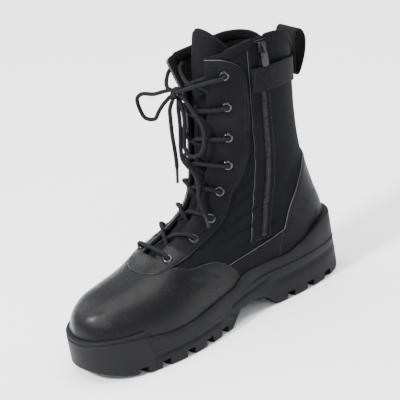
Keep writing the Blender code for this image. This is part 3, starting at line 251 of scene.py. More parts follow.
# Places of the lace in metres: across from the middle plane, forward of the back of the heel, above the
# floor
KNOT = (-0.0080, 0.1370, 0.2230)
LOOP_OUTER = (
    (-0.0150, 0.1388, 0.2254), (-0.0212, 0.1430, 0.2240), (-0.0310, 0.1477, 0.2212),
    (-0.0431, 0.1534, 0.2209), (-0.0485, 0.1559, 0.2162), (-0.0480, 0.1556, 0.2062),
    (-0.0440, 0.1538, 0.1970), (-0.0346, 0.1494, 0.1963), (-0.0297, 0.1471, 0.2032),
    (-0.0246, 0.1440, 0.2105), (-0.0190, 0.1405, 0.2165), (-0.0154, 0.1386, 0.2196),
)
LOOP_INNER = (
    (-0.0032, 0.1390, 0.2164), (0.0006, 0.1398, 0.2100), (0.0018, 0.1404, 0.2010),
    (0.0010, 0.1412, 0.1921), (0.0003, 0.1430, 0.1820), (0.0006, 0.1446, 0.1730),
    (0.0058, 0.1450, 0.1672), (0.0138, 0.1428, 0.1665), (0.0196, 0.1389, 0.1713),
    (0.0219, 0.1358, 0.1819), (0.0214, 0.1347, 0.1941), (0.0168, 0.1359, 0.2032),
    (0.0104, 0.1373, 0.2123), (0.0042, 0.1376, 0.2186), (-0.0004, 0.1374, 0.2224),
)
END_OUTER = (
    (-0.0108, 0.1400, 0.2186), (-0.0128, 0.1446, 0.2090), (-0.0130, 0.1460, 0.1980),
    (-0.0125, 0.1475, 0.1840), (-0.0115, 0.1483, 0.1698), (-0.0105, 0.1497, 0.1557),
    (-0.0095, 0.1530, 0.1385),
)
END_INNER = (
    (-0.0076, 0.1372, 0.2168), (-0.0062, 0.1398, 0.2090), (-0.0050, 0.1414, 0.1970),
    (-0.0050, 0.1435, 0.1830), (-0.0046, 0.1460, 0.1710), (-0.0010, 0.1483, 0.1625),
    (0.0060, 0.1488, 0.1575), (0.0120, 0.1473, 0.1515), (0.0162, 0.1470, 0.1412),
    (0.0176, 0.1503, 0.1278), (0.0203, 0.1510, 0.1223), (0.0254, 0.1515, 0.1123),
    (0.0300, 0.1530, 0.1027),
)
# How the lace runs from the top eyelets: a little below them to a share of the arc, then to a place on
# the knot
TOP_DROP = 0.35
TOP_SHARE = 0.12
KNOT_ENTRIES = ((1, (0.0072, 0.0036, 0.0036)), (-1, (-0.0076, 0.0040, 0.0048)))

# Pull loop at the back: middle line of its webbing, forward of the upper's back and above the strap's
# middle line
PULL_LOOP = (
    (-0.0025, -0.0101), (-0.0033, -0.0021), (-0.0043, 0.0069), (-0.0057, 0.0159),
    (-0.0071, 0.0239), (-0.0111, 0.0301), (-0.0163, 0.0287), (-0.0193, 0.0199),
    (-0.0169, 0.0079), (-0.0119, -0.0031), (-0.0065, -0.0111),
)
PULL_LOOP_WIDTH = 0.030

# Distance between points on lines of places, on cords, and inside a layer of leather
LINE_SPACING = 0.0015
CORD_SPACING = 0.0016
PANEL_SPACING = 0.0022
# Sides of the cords, of the lace holes and of the eyelets
CORD_SIDES = 12
HOLE_SIDES = 16
EYELET_STEPS = 28
# Cells of the upper's grid on each side and over the throat, and the cells between two of MESH_ROWS
SIDE_CELLS = 56
THROAT_CELLS = 12
FINE_ROWS = 6
# Rows above this one are spread so that the last follows the collar's edge
SPREAD_ROW = 14
# Rows above this one are kept under the collar's edge in the layers
LIMIT_ROW = 13
# Where the collar's edging starts and ends, as shares of the arc, and half of its gap at the zip in metres
BINDING_ENDS = (0.275, 1.735)
BINDING_GAP = 0.0042
# Pitch of the zip's teeth, their size along, across and outwards, and how far they stand from the middle
# line
TOOTH_PITCH = 0.00085
TOOTH = (0.00095, 0.0032, 0.0014)
TOOTH_SHIFT = 0.0011
# How far in the single row of stitches runs on the tape and on leather
TAPE_ROW = (0.0018,)
SINGLE_ROW = (0.0022,)
# How far a row and a share reach on the upper, about, in metres
CHART_SCALE = np.array([0.018, 0.11])
# Rounded edge of a leather layer. Columns: distance in from the outline, share of the thickness.
PANEL_EDGE = ((0.0, 0.45), (0.0003, 0.82), (0.0008, 0.97), (0.0016, 1.0))
EDGE_RINGS = 1
# Cross-section of the collar's edging, out from the upper and up from its edge, in millimetres
BINDING = (
    (1.0, -7.5), (1.3, -6.9), (1.4, -4.0), (1.3, -1.0), (1.0, 0.4), (0.2, 1.0), (-1.1, 1.25), (-2.4, 1.0),
    (-3.2, 0.4), (-3.5, -1.0), (-3.6, -4.0), (-3.5, -6.9), (-3.2, -7.5), (-2.0, -7.4), (-0.2, -7.4),
)
# Soft folds. Columns: side (1 inner, -1 outer, 0 both), where the fold starts and ends on the side view
# in shares of LENGTH and SHAFT_HEIGHT, its half width and its depth in metres. A swelling has a depth
# below 0.
FOLDS = (
    (0, (0.455, 0.302), (0.335, 0.338), 0.0042, 0.0017),
    (0, (0.432, 0.345), (0.305, 0.398), 0.0046, 0.0016),
    (0, (0.405, 0.405), (0.300, 0.458), 0.0042, 0.0013),
    (1, (0.372, 0.470), (0.290, 0.535), 0.0042, 0.0011),
    (-1, (0.372, 0.455), (0.250, 0.500), 0.0050, 0.0014),
    (1, (0.350, 0.560), (0.285, 0.604), 0.0050, 0.0010),
    (-1, (0.340, 0.575), (0.210, 0.560), 0.0060, 0.0012),
    (0, (0.332, 0.690), (0.275, 0.655), 0.0065, 0.0010),
    (-1, (0.320, 0.800), (0.200, 0.745), 0.0075, 0.0012),
    (0, (0.440, 0.262), (0.345, 0.276), 0.0036, 0.0010),
    (0, (0.226, 0.425), (0.130, 0.505), 0.0060, 0.0013),
    (0, (0.228, 0.590), (0.105, 0.560), 0.0064, 0.0011),
    (0, (0.230, 0.735), (0.100, 0.690), 0.0070, 0.0010),
    (0, (0.642, 0.250), (0.592, 0.214), 0.0030, 0.0008),
    (0, (0.668, 0.262), (0.628, 0.206), 0.0030, 0.0006),
    (0, (0.694, 0.268), (0.660, 0.214), 0.0028, 0.0005),
    (0, (0.560, 0.248), (0.520, 0.205), 0.0032, 0.0007),
    (1, (0.480, 0.288), (0.440, 0.330), 0.0040, 0.0010),
    (0, (0.320, 0.300), (0.250, 0.330), 0.0050, 0.0012),
    (1, (0.395, 0.300), (0.350, 0.420), 0.0060, -0.0012),
    (-1, (0.380, 0.320), (0.300, 0.520), 0.0080, -0.0014),
)
# Long hollows in the sole's side. Columns: start and end forward of the heel's back, height at both, half
# width and depth, in metres.
SOLE_TROUGHS = (
    (0.014, 0.092, 0.0265, 0.0240, 0.0034, 0.0019),
    (0.104, 0.150, 0.0300, 0.0235, 0.0019, 0.0014),
    (0.108, 0.146, 0.0365, 0.0315, 0.0012, 0.0010),
    (0.150, 0.166, 0.0130, 0.0255, 0.0018, 0.0013),
    (0.172, 0.240, 0.0160, 0.0140, 0.0022, 0.0014),
)
# The photograph's view of the boot: where the camera looks, from which side and height in degrees, how
# far off, how much it is rolled, and its focal length in pixels. The boot's middle in the photograph, in
# pixels.
VIEW_TARGET = (0.0595, -0.0132, 0.1209)
VIEW_SIDE, VIEW_HEIGHT, VIEW_ROLL = 54.7, 23.0, -9.0
VIEW_DISTANCE = 1.536
VIEW_FOCAL = 1326.0
VIEW_MIDDLE = (130.0, 209.0)
VIEW_CLOSER = 1.25

# How far the leather reaches below the sole's rim, and how far in from an edge its rows of stitches run
CUP_OVERLAP = 0.004
DOUBLE_ROW = (0.0022, 0.0047)
TRIPLE_ROW = (0.0022, 0.0047, 0.0072)

MATERIALS = {}
FOLD_ENDS = []


def curve(stations, values, at, level_start=()):
    """Values at places on a smooth curve through the rows of a table. Columns in level_start set out
    level."""
    stations = np.asarray(stations, float)
    values = np.asarray(values, float)
    slopes = np.gradient(values, stations, axis=0)
    if len(level_start):
        slopes[0, list(level_start)] = 0.0
    at = np.clip(np.asarray(at, float), stations[0], stations[-1])
    row = np.clip(np.searchsorted(stations, at, side="right") - 1, 0, len(stations) - 2)
    span = stations[row + 1] - stations[row]
    t = (at - stations[row]) / span
    if values.ndim > 1:
        t, span = t[..., None], span[..., None]
    return (
        (2 * t**3 - 3 * t**2 + 1) * values[row]
        + (t**3 - 2 * t**2 + t) * span * slopes[row]
        + (3 * t**2 - 2 * t**3) * values[row + 1]
        + (t**3 - t**2) * span * slopes[row + 1]
    )


def column(table, index):
    return [row[index] for row in table]


def height(share):
    """Height of a share of SHAFT_HEIGHT. What lies below the instep follows INSTEP_HEIGHT, and the shaft
    above it takes the rest."""
    share = np.asarray(share, float)
    above = INSTEP_HEIGHT + (share - INSTEP_SHARE) / (1 - INSTEP_SHARE) * (SHAFT_HEIGHT - INSTEP_HEIGHT)
    return np.where(share <= INSTEP_SHARE, share / INSTEP_SHARE * INSTEP_HEIGHT, above)


def seat_height(share):
    """Height of the footbed at a share of LENGTH from the back of the heel."""
    middle = 0.5 * (HEEL_SEAT + BALL_SEAT)
    heights = (HEEL_SEAT, HEEL_SEAT, middle, BALL_SEAT, BALL_SEAT, TOE_SEAT)
    return curve((0.0, 0.20, 0.45, 0.66, 0.80, 1.0), heights, share)


def section_rows():
    """Both section tables in metres: ridge y, ridge z, base y, base z, inner, outer, turn, square."""
    rows = []
    for ridge_y, ridge_z, base_y, inner, outer, turn, square in FOOT_SECTIONS:
        base_z = seat_height(base_y) + MARGIN_LIFT
        lengths = (ridge_y * LENGTH, height(ridge_z * INSTEP_SHARE), base_y * LENGTH, base_z)
        rows.append((*lengths, inner * BALL_WIDTH, outer * BALL_WIDTH, math.radians(turn), square))
    for ridge_y, ridge_z, back_y, back_z, inner, outer, square in SHAFT_SECTIONS:
        lengths = (ridge_y * LENGTH, height(ridge_z), back_y * LENGTH, height(back_z))
        rows.append((*lengths, inner * BALL_WIDTH, outer * BALL_WIDTH, math.pi, square))
    return np.array(rows, float)


SECTIONS = section_rows()
SECTION_INDEX = np.arange(len(SECTIONS), dtype=float)


def ease(value):
    value = np.clip(value, 0.0, 1.0)
    return value * value * (3 - 2 * value)


def signed_power(value, exponent):
    return np.sign(value) * np.abs(value) ** exponent


def flare(row, share):
    """How far the open front edge of the outer side has moved at a place, from 0 to 1."""
    low, high = FLARE_ROWS
    moved = ease((row - low) / (high - low)) * ease(-share / 0.12) * (1 - ease((-share - 0.14) / 0.36))
    return np.where((share >= 0) | (row <= low), 0.0, moved)


def surface(row, share, flared=True):
    """Points on the upper's outer face. row runs from the toe to above the collar, share from the outer
    side's base at -1 over the ridge at 0 to the inner side's base at 1. Past the back, shares run on to
    2."""
    row, share = np.broadcast_arrays(np.asarray(row, float), np.asarray(share, float))
    share = np.where(share > 1, share - 2, share)
    level = curve(SECTION_INDEX, SECTIONS, row, (0, 2))
    ridge_y, ridge_z, base_y, base_z, inner, outer, turn, square = np.moveaxis(level, -1, 0)
    turn = np.where(row >= FIRST_SHAFT_ROW, math.pi, np.minimum(turn, math.pi))
    angle = np.abs(share) * turn
    half = np.where(share >= 0, inner, outer)
    x = half * signed_power(np.sin(angle), 2 / square)
    down = (1 - signed_power(np.cos(angle), 2 / square)) / (1 - signed_power(np.cos(turn), 2 / square))
    moved = flare(row, share) if flared else 0.0
    return np.stack([
        np.where(share >= 0, x, -x) - moved * FLARE_OUT,
        HEEL_CENTRE - (ridge_y + (base_y - ridge_y) * down + moved * FLARE_FORWARD),
        ridge_z + (base_z - ridge_z) * down,
    ], axis=-1)


def unit(vectors):
    return vectors / np.maximum(np.linalg.norm(vectors, axis=-1, keepdims=True), 1e-12)


def slopes_at(row, share, flared=True):
    """How the surface runs with the row and with the share, per unit of each."""
    row, share = np.broadcast_arrays(np.asarray(row, float), np.asarray(share, float))
    high, low = row + 0.02, np.maximum(row - 0.02, 0.0)
    wrapped = share > 1
    ahead = np.where(wrapped, share + 0.01, np.minimum(share + 0.01, 1.0))
    behind = np.where(wrapped, np.maximum(share - 0.01, 1.0001), np.maximum(share - 0.01, -1.0))
    along = (surface(high, share, flared) - surface(low, share, flared)) / (high - low)[..., None]
    across = (surface(row, ahead, flared) - surface(row, behind, flared)) / (ahead - behind)[..., None]
    return along, across


def outward(row, share, flared=True):
    """Directions that point out of the upper at places on its surface."""
    along, across = slopes_at(row, share, flared)
    return unit(np.cross(across, along))


def crease(row, share):
    """How far soft folds lift the upper at places, in metres: troughs with a low ridge along each side."""
    row, share = np.broadcast_arrays(np.asarray(row, float), np.asarray(share, float))
    points = surface(row, share)
    lift = np.zeros(row.shape)
    for a, b, width, depth in fold_ends():
        run = b - a
        t = np.clip(((points - a) @ run) / (run @ run), 0.0, 1.0)
        gap = np.linalg.norm(points - a - t[..., None] * run, axis=-1) / width
        fade = 1 - 0.8 * (2 * t - 1) ** 2
        lift -= depth * fade * (1 - gap**2) * np.exp(-(gap**2))
    return lift * bpy.context.scene.boot_looks.crease_depth


def fold_ends():
    """Both ends of each soft fold in space, with its half width and depth."""
    if not FOLD_ENDS:
        for sides, start, end, width, depth in FOLDS:
            for side in (sides,) if sides else (1, -1):
                places = to_chart(scaled([start, end]), side)
                FOLD_ENDS.append((*surface(places[:, 0], places[:, 1]), width, depth))
    return FOLD_ENDS


def lifted(row, share, lift):
    """Points at a height above the upper's face, folds and all."""
    rise = crease(row, share) + lift
    return surface(row, share) + outward(row, share) * rise[..., None]


def throat_share(row):
    return curve(column(THROAT_WIDTH, 0), column(THROAT_WIDTH, 1), row)


def collar_height(share):
    inner = curve(column(COLLAR_EDGE, 0), column(COLLAR_EDGE, 1), np.abs(share))
    outer = curve(column(COLLAR_EDGE, 0), column(COLLAR_EDGE, 2), np.abs(share))
    return height(np.where(share >= 0, inner, outer))


def halved(low, high, held, steps):
    """Values between two limits up to which a test holds, found by halving."""
    for _ in range(steps):
        middle = 0.5 * (low + high)
        holds = held(middle)
        low, high = np.where(holds, middle, low), np.where(holds, high, middle)
    return 0.5 * (low + high)


def row_where(share, reached):
    """Rows of the shaft where lines of constant share pass a test that holds below the place."""
    share = np.asarray(share, float)
    ends = np.full(share.shape, float(FIRST_SHAFT_ROW)), np.full(share.shape, float(VIRTUAL_TOP))
    return halved(*ends, lambda rows: reached(surface(rows, share)), 40)


def row_at_height(share, level):
    return row_where(share, lambda points: points[..., 2] < level)


def to_chart(line, side=1):
    """Rows and shares of the places where a line drawn on the side view lies on the upper. Columns of the
    line: distance forward of the back of the heel, height."""
    line = np.asarray(line, float)
    around = side * np.linspace(0.0, 1.0, 81)
    rows, shares = np.meshgrid(np.linspace(0.0, VIRTUAL_TOP, 150), around, indexing="ij")
    known = surface(rows, shares)[..., 1:].reshape(-1, 2)
    wanted = np.stack([HEEL_CENTRE - line[:, 0], line[:, 1]], axis=-1)
    near = np.array([np.argmin(((known - w) ** 2).sum(-1)) for w in wanted])
    row, share = rows.reshape(-1)[near], shares.reshape(-1)[near]
    scale = np.array([0.02, 0.11])
    for _ in range(25):
        along, across = slopes_at(row, share)
        missing = wanted - surface(row, share)[:, 1:]
        jacobian = np.stack([along[:, 1:], across[:, 1:]], axis=-1) / scale
        normal = np.swapaxes(jacobian, 1, 2) @ jacobian + 1e-4 * np.eye(2)
        step = np.linalg.solve(normal, (np.swapaxes(jacobian, 1, 2) @ missing[..., None]))[..., 0] / scale
        row = np.clip(row + np.clip(step[:, 0], -0.3, 0.3), 0.0, VIRTUAL_TOP)
        share = side * np.clip(side * (share + np.clip(step[:, 1], -0.05, 0.05)), 0.0, 1.0)
    return np.stack([row, share], axis=-1)


def run_along(points):
    """Distance of each point from the first, measured along their line."""
    return np.concatenate([[0.0], np.cumsum(np.linalg.norm(np.diff(points, axis=0), axis=1))])


def read_at(run, values, at):
    """Values of a line's points, read at distances along it."""
    return np.stack([np.interp(at, run, values[:, k]) for k in range(values.shape[1])], axis=-1)


def smooth_line(points):
    """Points about LINE_SPACING apart on a smooth curve through a few points."""
    points = np.asarray(points, float)
    dense = curve(np.arange(len(points)), points, np.linspace(0, len(points) - 1, 40 * len(points)))
    return respaced(dense, LINE_SPACING)


def respaced(points, spacing, measured=None):
    """The same line with its points evenly apart, as measured along itself or along another line."""
    points = np.asarray(points, float)
    run = run_along(points if measured is None else measured)
    count = max(2, int(round(run[-1] / spacing)) + 1)
    return read_at(run, points, np.linspace(0.0, run[-1], count))


def scaled(points):
    points = np.asarray(points, float)
    return np.stack([points[:, 0] * LENGTH, height(points[:, 1])], axis=-1)


def side_line(table, side=1):
    """A table's smooth line on the side view, as places on the upper."""
    return to_chart(smooth_line(scaled(table)), side)


def cut_at_edge(line, edge_share):
    """The part of a line of places before it comes nearer the ridge than a share, with a last point on it."""
    over = np.abs(line[:, 1]) - edge_share(line[:, 0])
    first = int(np.argmax(over < 0)) if (over < 0).any() else len(line)
    if first == 0:
        return line[:0]
    kept = line[:first]
    if first < len(line):
        t = over[first - 1] / (over[first - 1] - over[first])
        kept = np.vstack([kept, line[first - 1] + t * (line[first] - line[first - 1])])
    return kept


def even(line, spacing=LINE_SPACING):
    """The same line of places with its points evenly apart on the upper."""
    return respaced(line, spacing, surface(line[:, 0], line[:, 1]))


def mirrored(line):
    """The same places on the other side, in the other order."""
    return (line * (1, -1))[::-1]


def to_ridge(table):
    """A table's line from its rear end to where it crosses the ridge, as places on the inner side."""
    line = smooth_line(scaled(table))[::-1]
    rows = np.linspace(0.0, FIRST_SHAFT_ROW, 400)
    ridge = surface(rows, 0.0)
    forward = HEEL_CENTRE - ridge[:, 1]
    over = line[:, 1] - np.interp(line[:, 0], forward[::-1], ridge[::-1, 2])
    first = int(np.argmax(over > 0))
    t = over[first - 1] / (over[first - 1] - over[first])
    crossing = line[first - 1] + t * (line[first] - line[first - 1])
    row = float(np.interp(crossing[0], forward[::-1], rows[::-1]))
    return np.vstack([to_chart(line[:first]), [(row, 0.0)]])


def rim_height(share):
    return INSTEP_HEIGHT * curve(column(SOLE_EDGE, 0), column(SOLE_EDGE, 1), share)


def rim_places(start, end, side=1):
    """Places a little below the sole's rim, between two shares of LENGTH."""
    shares = np.linspace(start, end, 60)
    return to_chart(np.stack([shares * LENGTH, rim_height(shares) - CUP_OVERLAP], axis=-1), side)


def toe_places():
    """Places a little below the sole's rim round the inner side of the toe, ending on the toe's front
    line."""
    rows = np.concatenate([np.linspace(7.0, 1.0, 60), np.linspace(1.0, 0.0, 16)[1:]])

    def above(shares):
        points = surface(rows, shares)
        return points[:, 2] >= rim_height((HEEL_CENTRE - points[:, 1]) / LENGTH) - CUP_OVERLAP

    shares = halved(np.zeros(rows.shape), np.ones(rows.shape), above, 30)
    return np.stack([rows, shares], axis=-1)


def join_lines(parts):
    """One closed outline from lines of places that follow each other, whether each point's edge shows, and
    the stretches to sew."""
    outline, shows, spans = [], [], []
    for line, visible, sewn in parts:
        line = even(np.asarray(line, float))
        if outline and np.abs(outline[-1] - line[0]).max() < 1e-4:
            line = line[1:]
            shows[-1] = shows[-1] or visible
        start = len(outline)
        outline += list(line)
        shows += [visible] * len(line)
        spans.append((start, len(outline), sewn))
    if np.abs(outline[-1] - outline[0]).max() < 1e-4:
        outline, shows = outline[:-1], shows[:-1]
    return np.array(outline), np.array(shows), spans


def inward_steps(outline):
    """How a place moves for each metre inwards from a closed outline."""
    points, normals = surface(outline[:, 0], outline[:, 1]), outward(outline[:, 0], outline[:, 1])
    tangents = unit(np.roll(points, -1, axis=0) - np.roll(points, 1, axis=0))
    after = np.roll(outline, -1, axis=0)
    turn = np.sign((outline[:, 0] * after[:, 1] - after[:, 0] * outline[:, 1]).sum())
    inward = turn * np.cross(tangents, normals)
    along, across = slopes_at(outline[:, 0], outline[:, 1])
    return np.einsum("nij,nj->ni", np.linalg.pinv(np.stack([along, across], axis=-1)), inward)


def inside(points, polygon):
    """Whether each point lies inside a closed polygon."""
    x, y = points[:, 0][:, None], points[:, 1][:, None]
    ax, ay = polygon[:, 0], polygon[:, 1]
    bx, by = np.roll(ax, -1), np.roll(ay, -1)
    crosses = (ay > y) != (by > y)
    safe = np.where(by == ay, 1e-12, by - ay)
    return ((crosses & (x < (bx - ax) * (y - ay) / safe + ax)).sum(axis=1) % 2) == 1


def hole_places(row, share):
    """The circle of places round one place that the lace's hole cuts out."""
    along, across = (slope[0] for slope in slopes_at([row], [share]))
    up = unit(along)
    side = np.cross(outward([row], [share])[0], up)
    angles = np.linspace(0.0, 2 * math.pi, HOLE_SIDES, endpoint=False)
    moves = LACE_HOLE * (np.cos(angles)[:, None] * up + np.sin(angles)[:, None] * side)
    return np.array([row, share]) + moves @ np.linalg.pinv(np.stack([along, across], axis=-1)).T


def filled(polygon, holes, spacing):
    """Triangles that fill a polygon of places, with points in it about a spacing apart."""
    flat = polygon * CHART_SCALE
    low, high = flat.min(axis=0), flat.max(axis=0)
    steps = np.arange(low[0], high[0], spacing * 0.87), np.arange(low[1], high[1], spacing)
    grid = np.stack(np.meshgrid(*steps), -1)
    grid[:, 1::2, 1] += spacing / 2
    grid = grid.reshape(-1, 2)
    grid = grid[inside(grid, flat)]
    far = np.array([((flat - point) ** 2).sum(-1).min() > (0.6 * spacing) ** 2 for point in grid], bool)
    grid = grid[far] if len(grid) else grid
    rings = [hole * CHART_SCALE for hole in holes]
    for ring in rings:
        centre = ring.mean(axis=0)
        reach = 1.25 * np.abs(ring - centre).max()
        grid = grid[((grid - centre) ** 2).sum(-1) > reach**2]
    coords = [Vector(point) for point in np.vstack([flat, *rings, grid])]
    edges, start = [], len(flat)
    for ring in rings:
        edges += [(start + k, start + (k + 1) % len(ring)) for k in range(len(ring))]
        start += len(ring)
    result = delaunay_2d_cdt(coords, edges, [list(range(len(flat)))], 1, 1e-7)
    verts = np.array([tuple(v) for v in result[0]])
    faces = np.array([face for face in result[2] if len(face) == 3])
    middles = verts[faces].mean(axis=1)
    for ring in rings:
        faces, middles = (kept[~inside(middles, ring)] for kept in (faces, middles))
    return verts / CHART_SCALE, faces


def skin(mesh, rings, around=True):
    """Vertices on rings of points that follow each other, with faces between neighbouring rings."""
    made = [[mesh.verts.new(point) for point in ring] for ring in rings]
    count = len(made[0])
    for low, high in zip(made, made[1:]):
        for k in range(count if around else count - 1):
            mesh.faces.new((low[k], low[(k + 1) % count], high[(k + 1) % count], high[k]))
    return made


def closed_piece(name, mesh, *materials):
    """A smooth piece from a bmesh whose faces are first turned outwards."""
    bmesh.ops.recalc_face_normals(mesh, faces=mesh.faces)
    return new_piece(name, mesh, *materials)


def new_piece(name, mesh, *materials):
    """A smooth piece from a bmesh, at the origin, with its materials."""
    data = bpy.data.meshes.new(name)
    mesh.to_mesh(data)
    mesh.free()
    piece = bpy.data.objects.new(name, data)
    bpy.context.scene.collection.objects.link(piece)
    for material in materials:
        data.materials.append(MATERIALS[material])
    data.shade_smooth()
    return piece


def applied(piece):
    """The piece with its modifiers made part of its mesh."""
    graph = bpy.context.evaluated_depsgraph_get()
    data = bpy.data.meshes.new_from_object(piece.evaluated_get(graph))
    piece.modifiers.clear()
    old, piece.data = piece.data, data
    data.name = piece.name
    bpy.data.meshes.remove(old)
    return piece


def worn_on(piece, *nodes, body="boot", slot=None):
    """The piece rides on its body in the place of the solids that it stands for."""
    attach(piece, body)
    if nodes:
        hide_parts(*nodes)
    return piece


def panel(name, parts, thickness, material, holes=()):
    """A layer on the upper inside an outline, with rounded edges where they show. Each part of the outline
    is a line of places, whether its edge shows, and how far in from it stitches run. Returns the piece and
    the lines to sew."""
    outline, shows, spans = join_lines(parts)
    steps = inward_steps(outline)
    rings = [outline + steps * (inset * shows)[:, None] for inset, _ in PANEL_EDGE]
    verts, faces = filled(rings[-1], holes, PANEL_SPACING)
    count = len(outline)
    places = np.vstack([*rings, verts])
    levels = np.concatenate([
        *[np.where(shows, level, 1.0) for _, level in PANEL_EDGE],
        np.ones(len(verts)),
    ])
    mesh = bmesh.new()
    row_layer, share_layer = mesh.verts.layers.float.new("row"), mesh.verts.layers.float.new("share")
    points = lifted(places[:, 0], places[:, 1], GAP + thickness * levels)
    made = [mesh.verts.new(point) for point in points]
    for k in range(len(PANEL_EDGE) - 1):
        for j in range(count):
            here, there = k * count + j, k * count + (j + 1) % count
            face = mesh.faces.new((made[here], made[there], made[there + count], made[here + count]))
            # The outer edge ring takes the lighter edge material, a painted highlight along the leather's
            # edge.
            face.material_index = 1 if k < EDGE_RINGS else 0
    first = len(rings) * count
    for a, b, c in faces:
        mesh.faces.new((made[first + a], made[first + b], made[first + c]))
    for vert, (row, share) in zip(made, places):
        vert[row_layer], vert[share_layer] = row, share
    bmesh.ops.remove_doubles(mesh, verts=mesh.verts, dist=0.00003)
    loose = [vert for vert in mesh.verts if not vert.link_faces]
    bmesh.ops.delete(mesh, geom=loose, context="VERTS")
    top = list(mesh.verts)
    at = np.array([(vert[row_layer], vert[share_layer]) for vert in top])
    below = lifted(at[:, 0], at[:, 1], np.full(len(top), GAP))
    under = {vert: mesh.verts.new(point) for vert, point in zip(top, below)}
    top_faces, rim = list(mesh.faces), [edge for edge in mesh.edges if edge.is_boundary]
    for face in top_faces:
        mesh.faces.new([under[vert] for vert in reversed(face.verts)])
    for edge in rim:
        a, b = edge.verts
        # The side walls take the lighter edge material too, a painted highlight along the edge.
        mesh.faces.new((a, b, under[b], under[a])).material_index = 1
    piece = closed_piece(name, mesh, material, "cut_edge")
    seams = []
    for start, end, sewn in spans:
        for inset in sewn:
            seams.append((outline[start:end] + steps[start:end] * inset, GAP + thickness))
    return piece, seams


def stitch_points(seams, pitch):
    """Where the stitches of some seams lie, which way each runs and which way is out."""
    places, runs, outs = [], [], []
    for line, lift in seams:
        line = even(line, pitch)
        if len(line) < 4:
            continue
        points = lifted(line[:, 0], line[:, 1], np.full(len(line), lift))
        places.append(0.5 * (points[1:] + points[:-1]))
        runs.append(unit(np.diff(points, axis=0)))
        outs.append(outward(line[:-1, 0], line[:-1, 1]))
    return np.vstack(places), np.vstack(runs), np.vstack(outs)


def scatter_tree():
    """Geometry Nodes tree that sets a shape on each point, its Z out and its X along, and makes one mesh of
    them."""
    known = bpy.data.node_groups.get("Set shapes on points")
    if known:
        return known
    tree = bpy.data.node_groups.new("Set shapes on points", "GeometryNodeTree")
    sockets = {"Geometry": "Geometry", "Shape": "Object", "Unevenness": "Float", "Seed": "Int",
               "Material": "Material"}
    for name, kind in sockets.items():
        tree.interface.new_socket(name, in_out="INPUT", socket_type="NodeSocket" + kind)
    tree.interface.new_socket("Geometry", in_out="OUTPUT", socket_type="NodeSocketGeometry")
    kinds = {
        "given": "NodeGroupInput", "made": "NodeGroupOutput", "shape": "GeometryNodeObjectInfo",
        "copies": "GeometryNodeInstanceOnPoints", "out": "GeometryNodeInputNamedAttribute",
        "along": "GeometryNodeInputNamedAttribute", "turn": "FunctionNodeAxesToRotation",
        "least": "ShaderNodeMath", "size": "FunctionNodeRandomValue", "real": "GeometryNodeRealizeInstances",
        "finish": "GeometryNodeSetMaterial",
    }
    nodes = {key: tree.nodes.new(kind) for key, kind in kinds.items()}
    for key in ("out", "along"):
        nodes[key].data_type = "FLOAT_VECTOR"
        nodes[key].inputs["Name"].default_value = key
    nodes["turn"].primary_axis, nodes["turn"].secondary_axis = "Z", "X"
    nodes["least"].operation = "SUBTRACT"
    nodes["least"].inputs[0].default_value = 1.0
    nodes["size"].inputs[3].default_value = 1.0
    for here, output, there, given in (
        ("given", "Shape", "shape", "Object"),
        ("given", "Unevenness", "least", 1),
        ("least", 0, "size", 2),
        ("given", "Seed", "size", "Seed"),
        ("out", 0, "turn", 0),
        ("along", 0, "turn", 1),
        ("given", "Geometry", "copies", "Points"),
        ("shape", "Geometry", "copies", "Instance"),
        ("turn", 0, "copies", "Rotation"),
        ("size", 1, "copies", "Scale"),
        ("copies", "Instances", "real", 0),
        ("real", 0, "finish", "Geometry"),
        ("given", "Material", "finish", "Material"),
        ("finish", 0, "made", 0),
    ):
        tree.links.new(nodes[here].outputs[output], nodes[there].inputs[given])
    return tree


def scattered(name, points, along, out, shape, material, unevenness=0.0, seed=1):
    """One mesh of many copies of a shape, each on a point and turned its own way."""
    data = bpy.data.meshes.new(name)
    data.from_pydata([tuple(point) for point in points], [], [])
    for key, values in (("out", out), ("along", along)):
        attribute = data.attributes.new(key, "FLOAT_VECTOR", "POINT")
        attribute.data.foreach_set("vector", np.asarray(values, np.float32).ravel())
    piece = bpy.data.objects.new(name, data)
    bpy.context.scene.collection.objects.link(piece)
    tree = scatter_tree()
    modifier = piece.modifiers.new("copies", "NODES")
    modifier.node_group = tree
    values = {"Shape": shape, "Unevenness": unevenness, "Seed": seed, "Material": MATERIALS[material]}
    for item in tree.interface.items_tree:
        if item.in_out == "INPUT" and item.name in values:
            modifier[item.identifier] = values[item.name]
    applied(piece)
    bpy.data.objects.remove(shape)
    piece.data.shade_smooth()
    return piece


def turned_shape(name, profile, steps):
    """A helper shape turned round Z from a closed profile of radii and heights."""
    mesh = bmesh.new()
    angles = [2 * math.pi * k / steps for k in range(steps + 1)]
    skin(mesh, [[(r * math.cos(angle), r * math.sin(angle), h) for r, h in profile] for angle in angles])
    bmesh.ops.remove_doubles(mesh, verts=mesh.verts, dist=1e-7)
    return closed_piece(name, mesh)


def box_shape(name, size, bevel):
    """A helper block with softened edges."""
    mesh = bmesh.new()
    bmesh.ops.create_cube(mesh, size=1.0, matrix=Matrix.Diagonal((*size, 1.0)))
    bmesh.ops.bevel(mesh, geom=mesh.edges, offset=bevel, segments=1, affect="EDGES")
    return closed_piece(name, mesh)


def stitch_shape():
    """A helper stitch: a short round thread that dips at both ends."""
    looks = bpy.context.scene.boot_looks
    length, radius = looks.stitch_length, looks.thread_width / 2
    mesh = bmesh.new()
    rings = []
    for t in (-1.0, -0.8, -0.35, 0.35, 0.8, 1.0):
        thick = radius * math.sqrt(max(1 - t**6, 0.05))
        sink = -0.6 * radius * t**4 + 0.25 * radius
        angles = np.linspace(0, 2 * math.pi, 6, endpoint=False)
        rings.append([(t * length / 2, thick * math.cos(a), sink + thick * math.sin(a)) for a in angles])
    made = skin(mesh, rings)
    for end in (made[0], made[-1]):
        mesh.faces.new(end)
    return closed_piece("stitch", mesh)


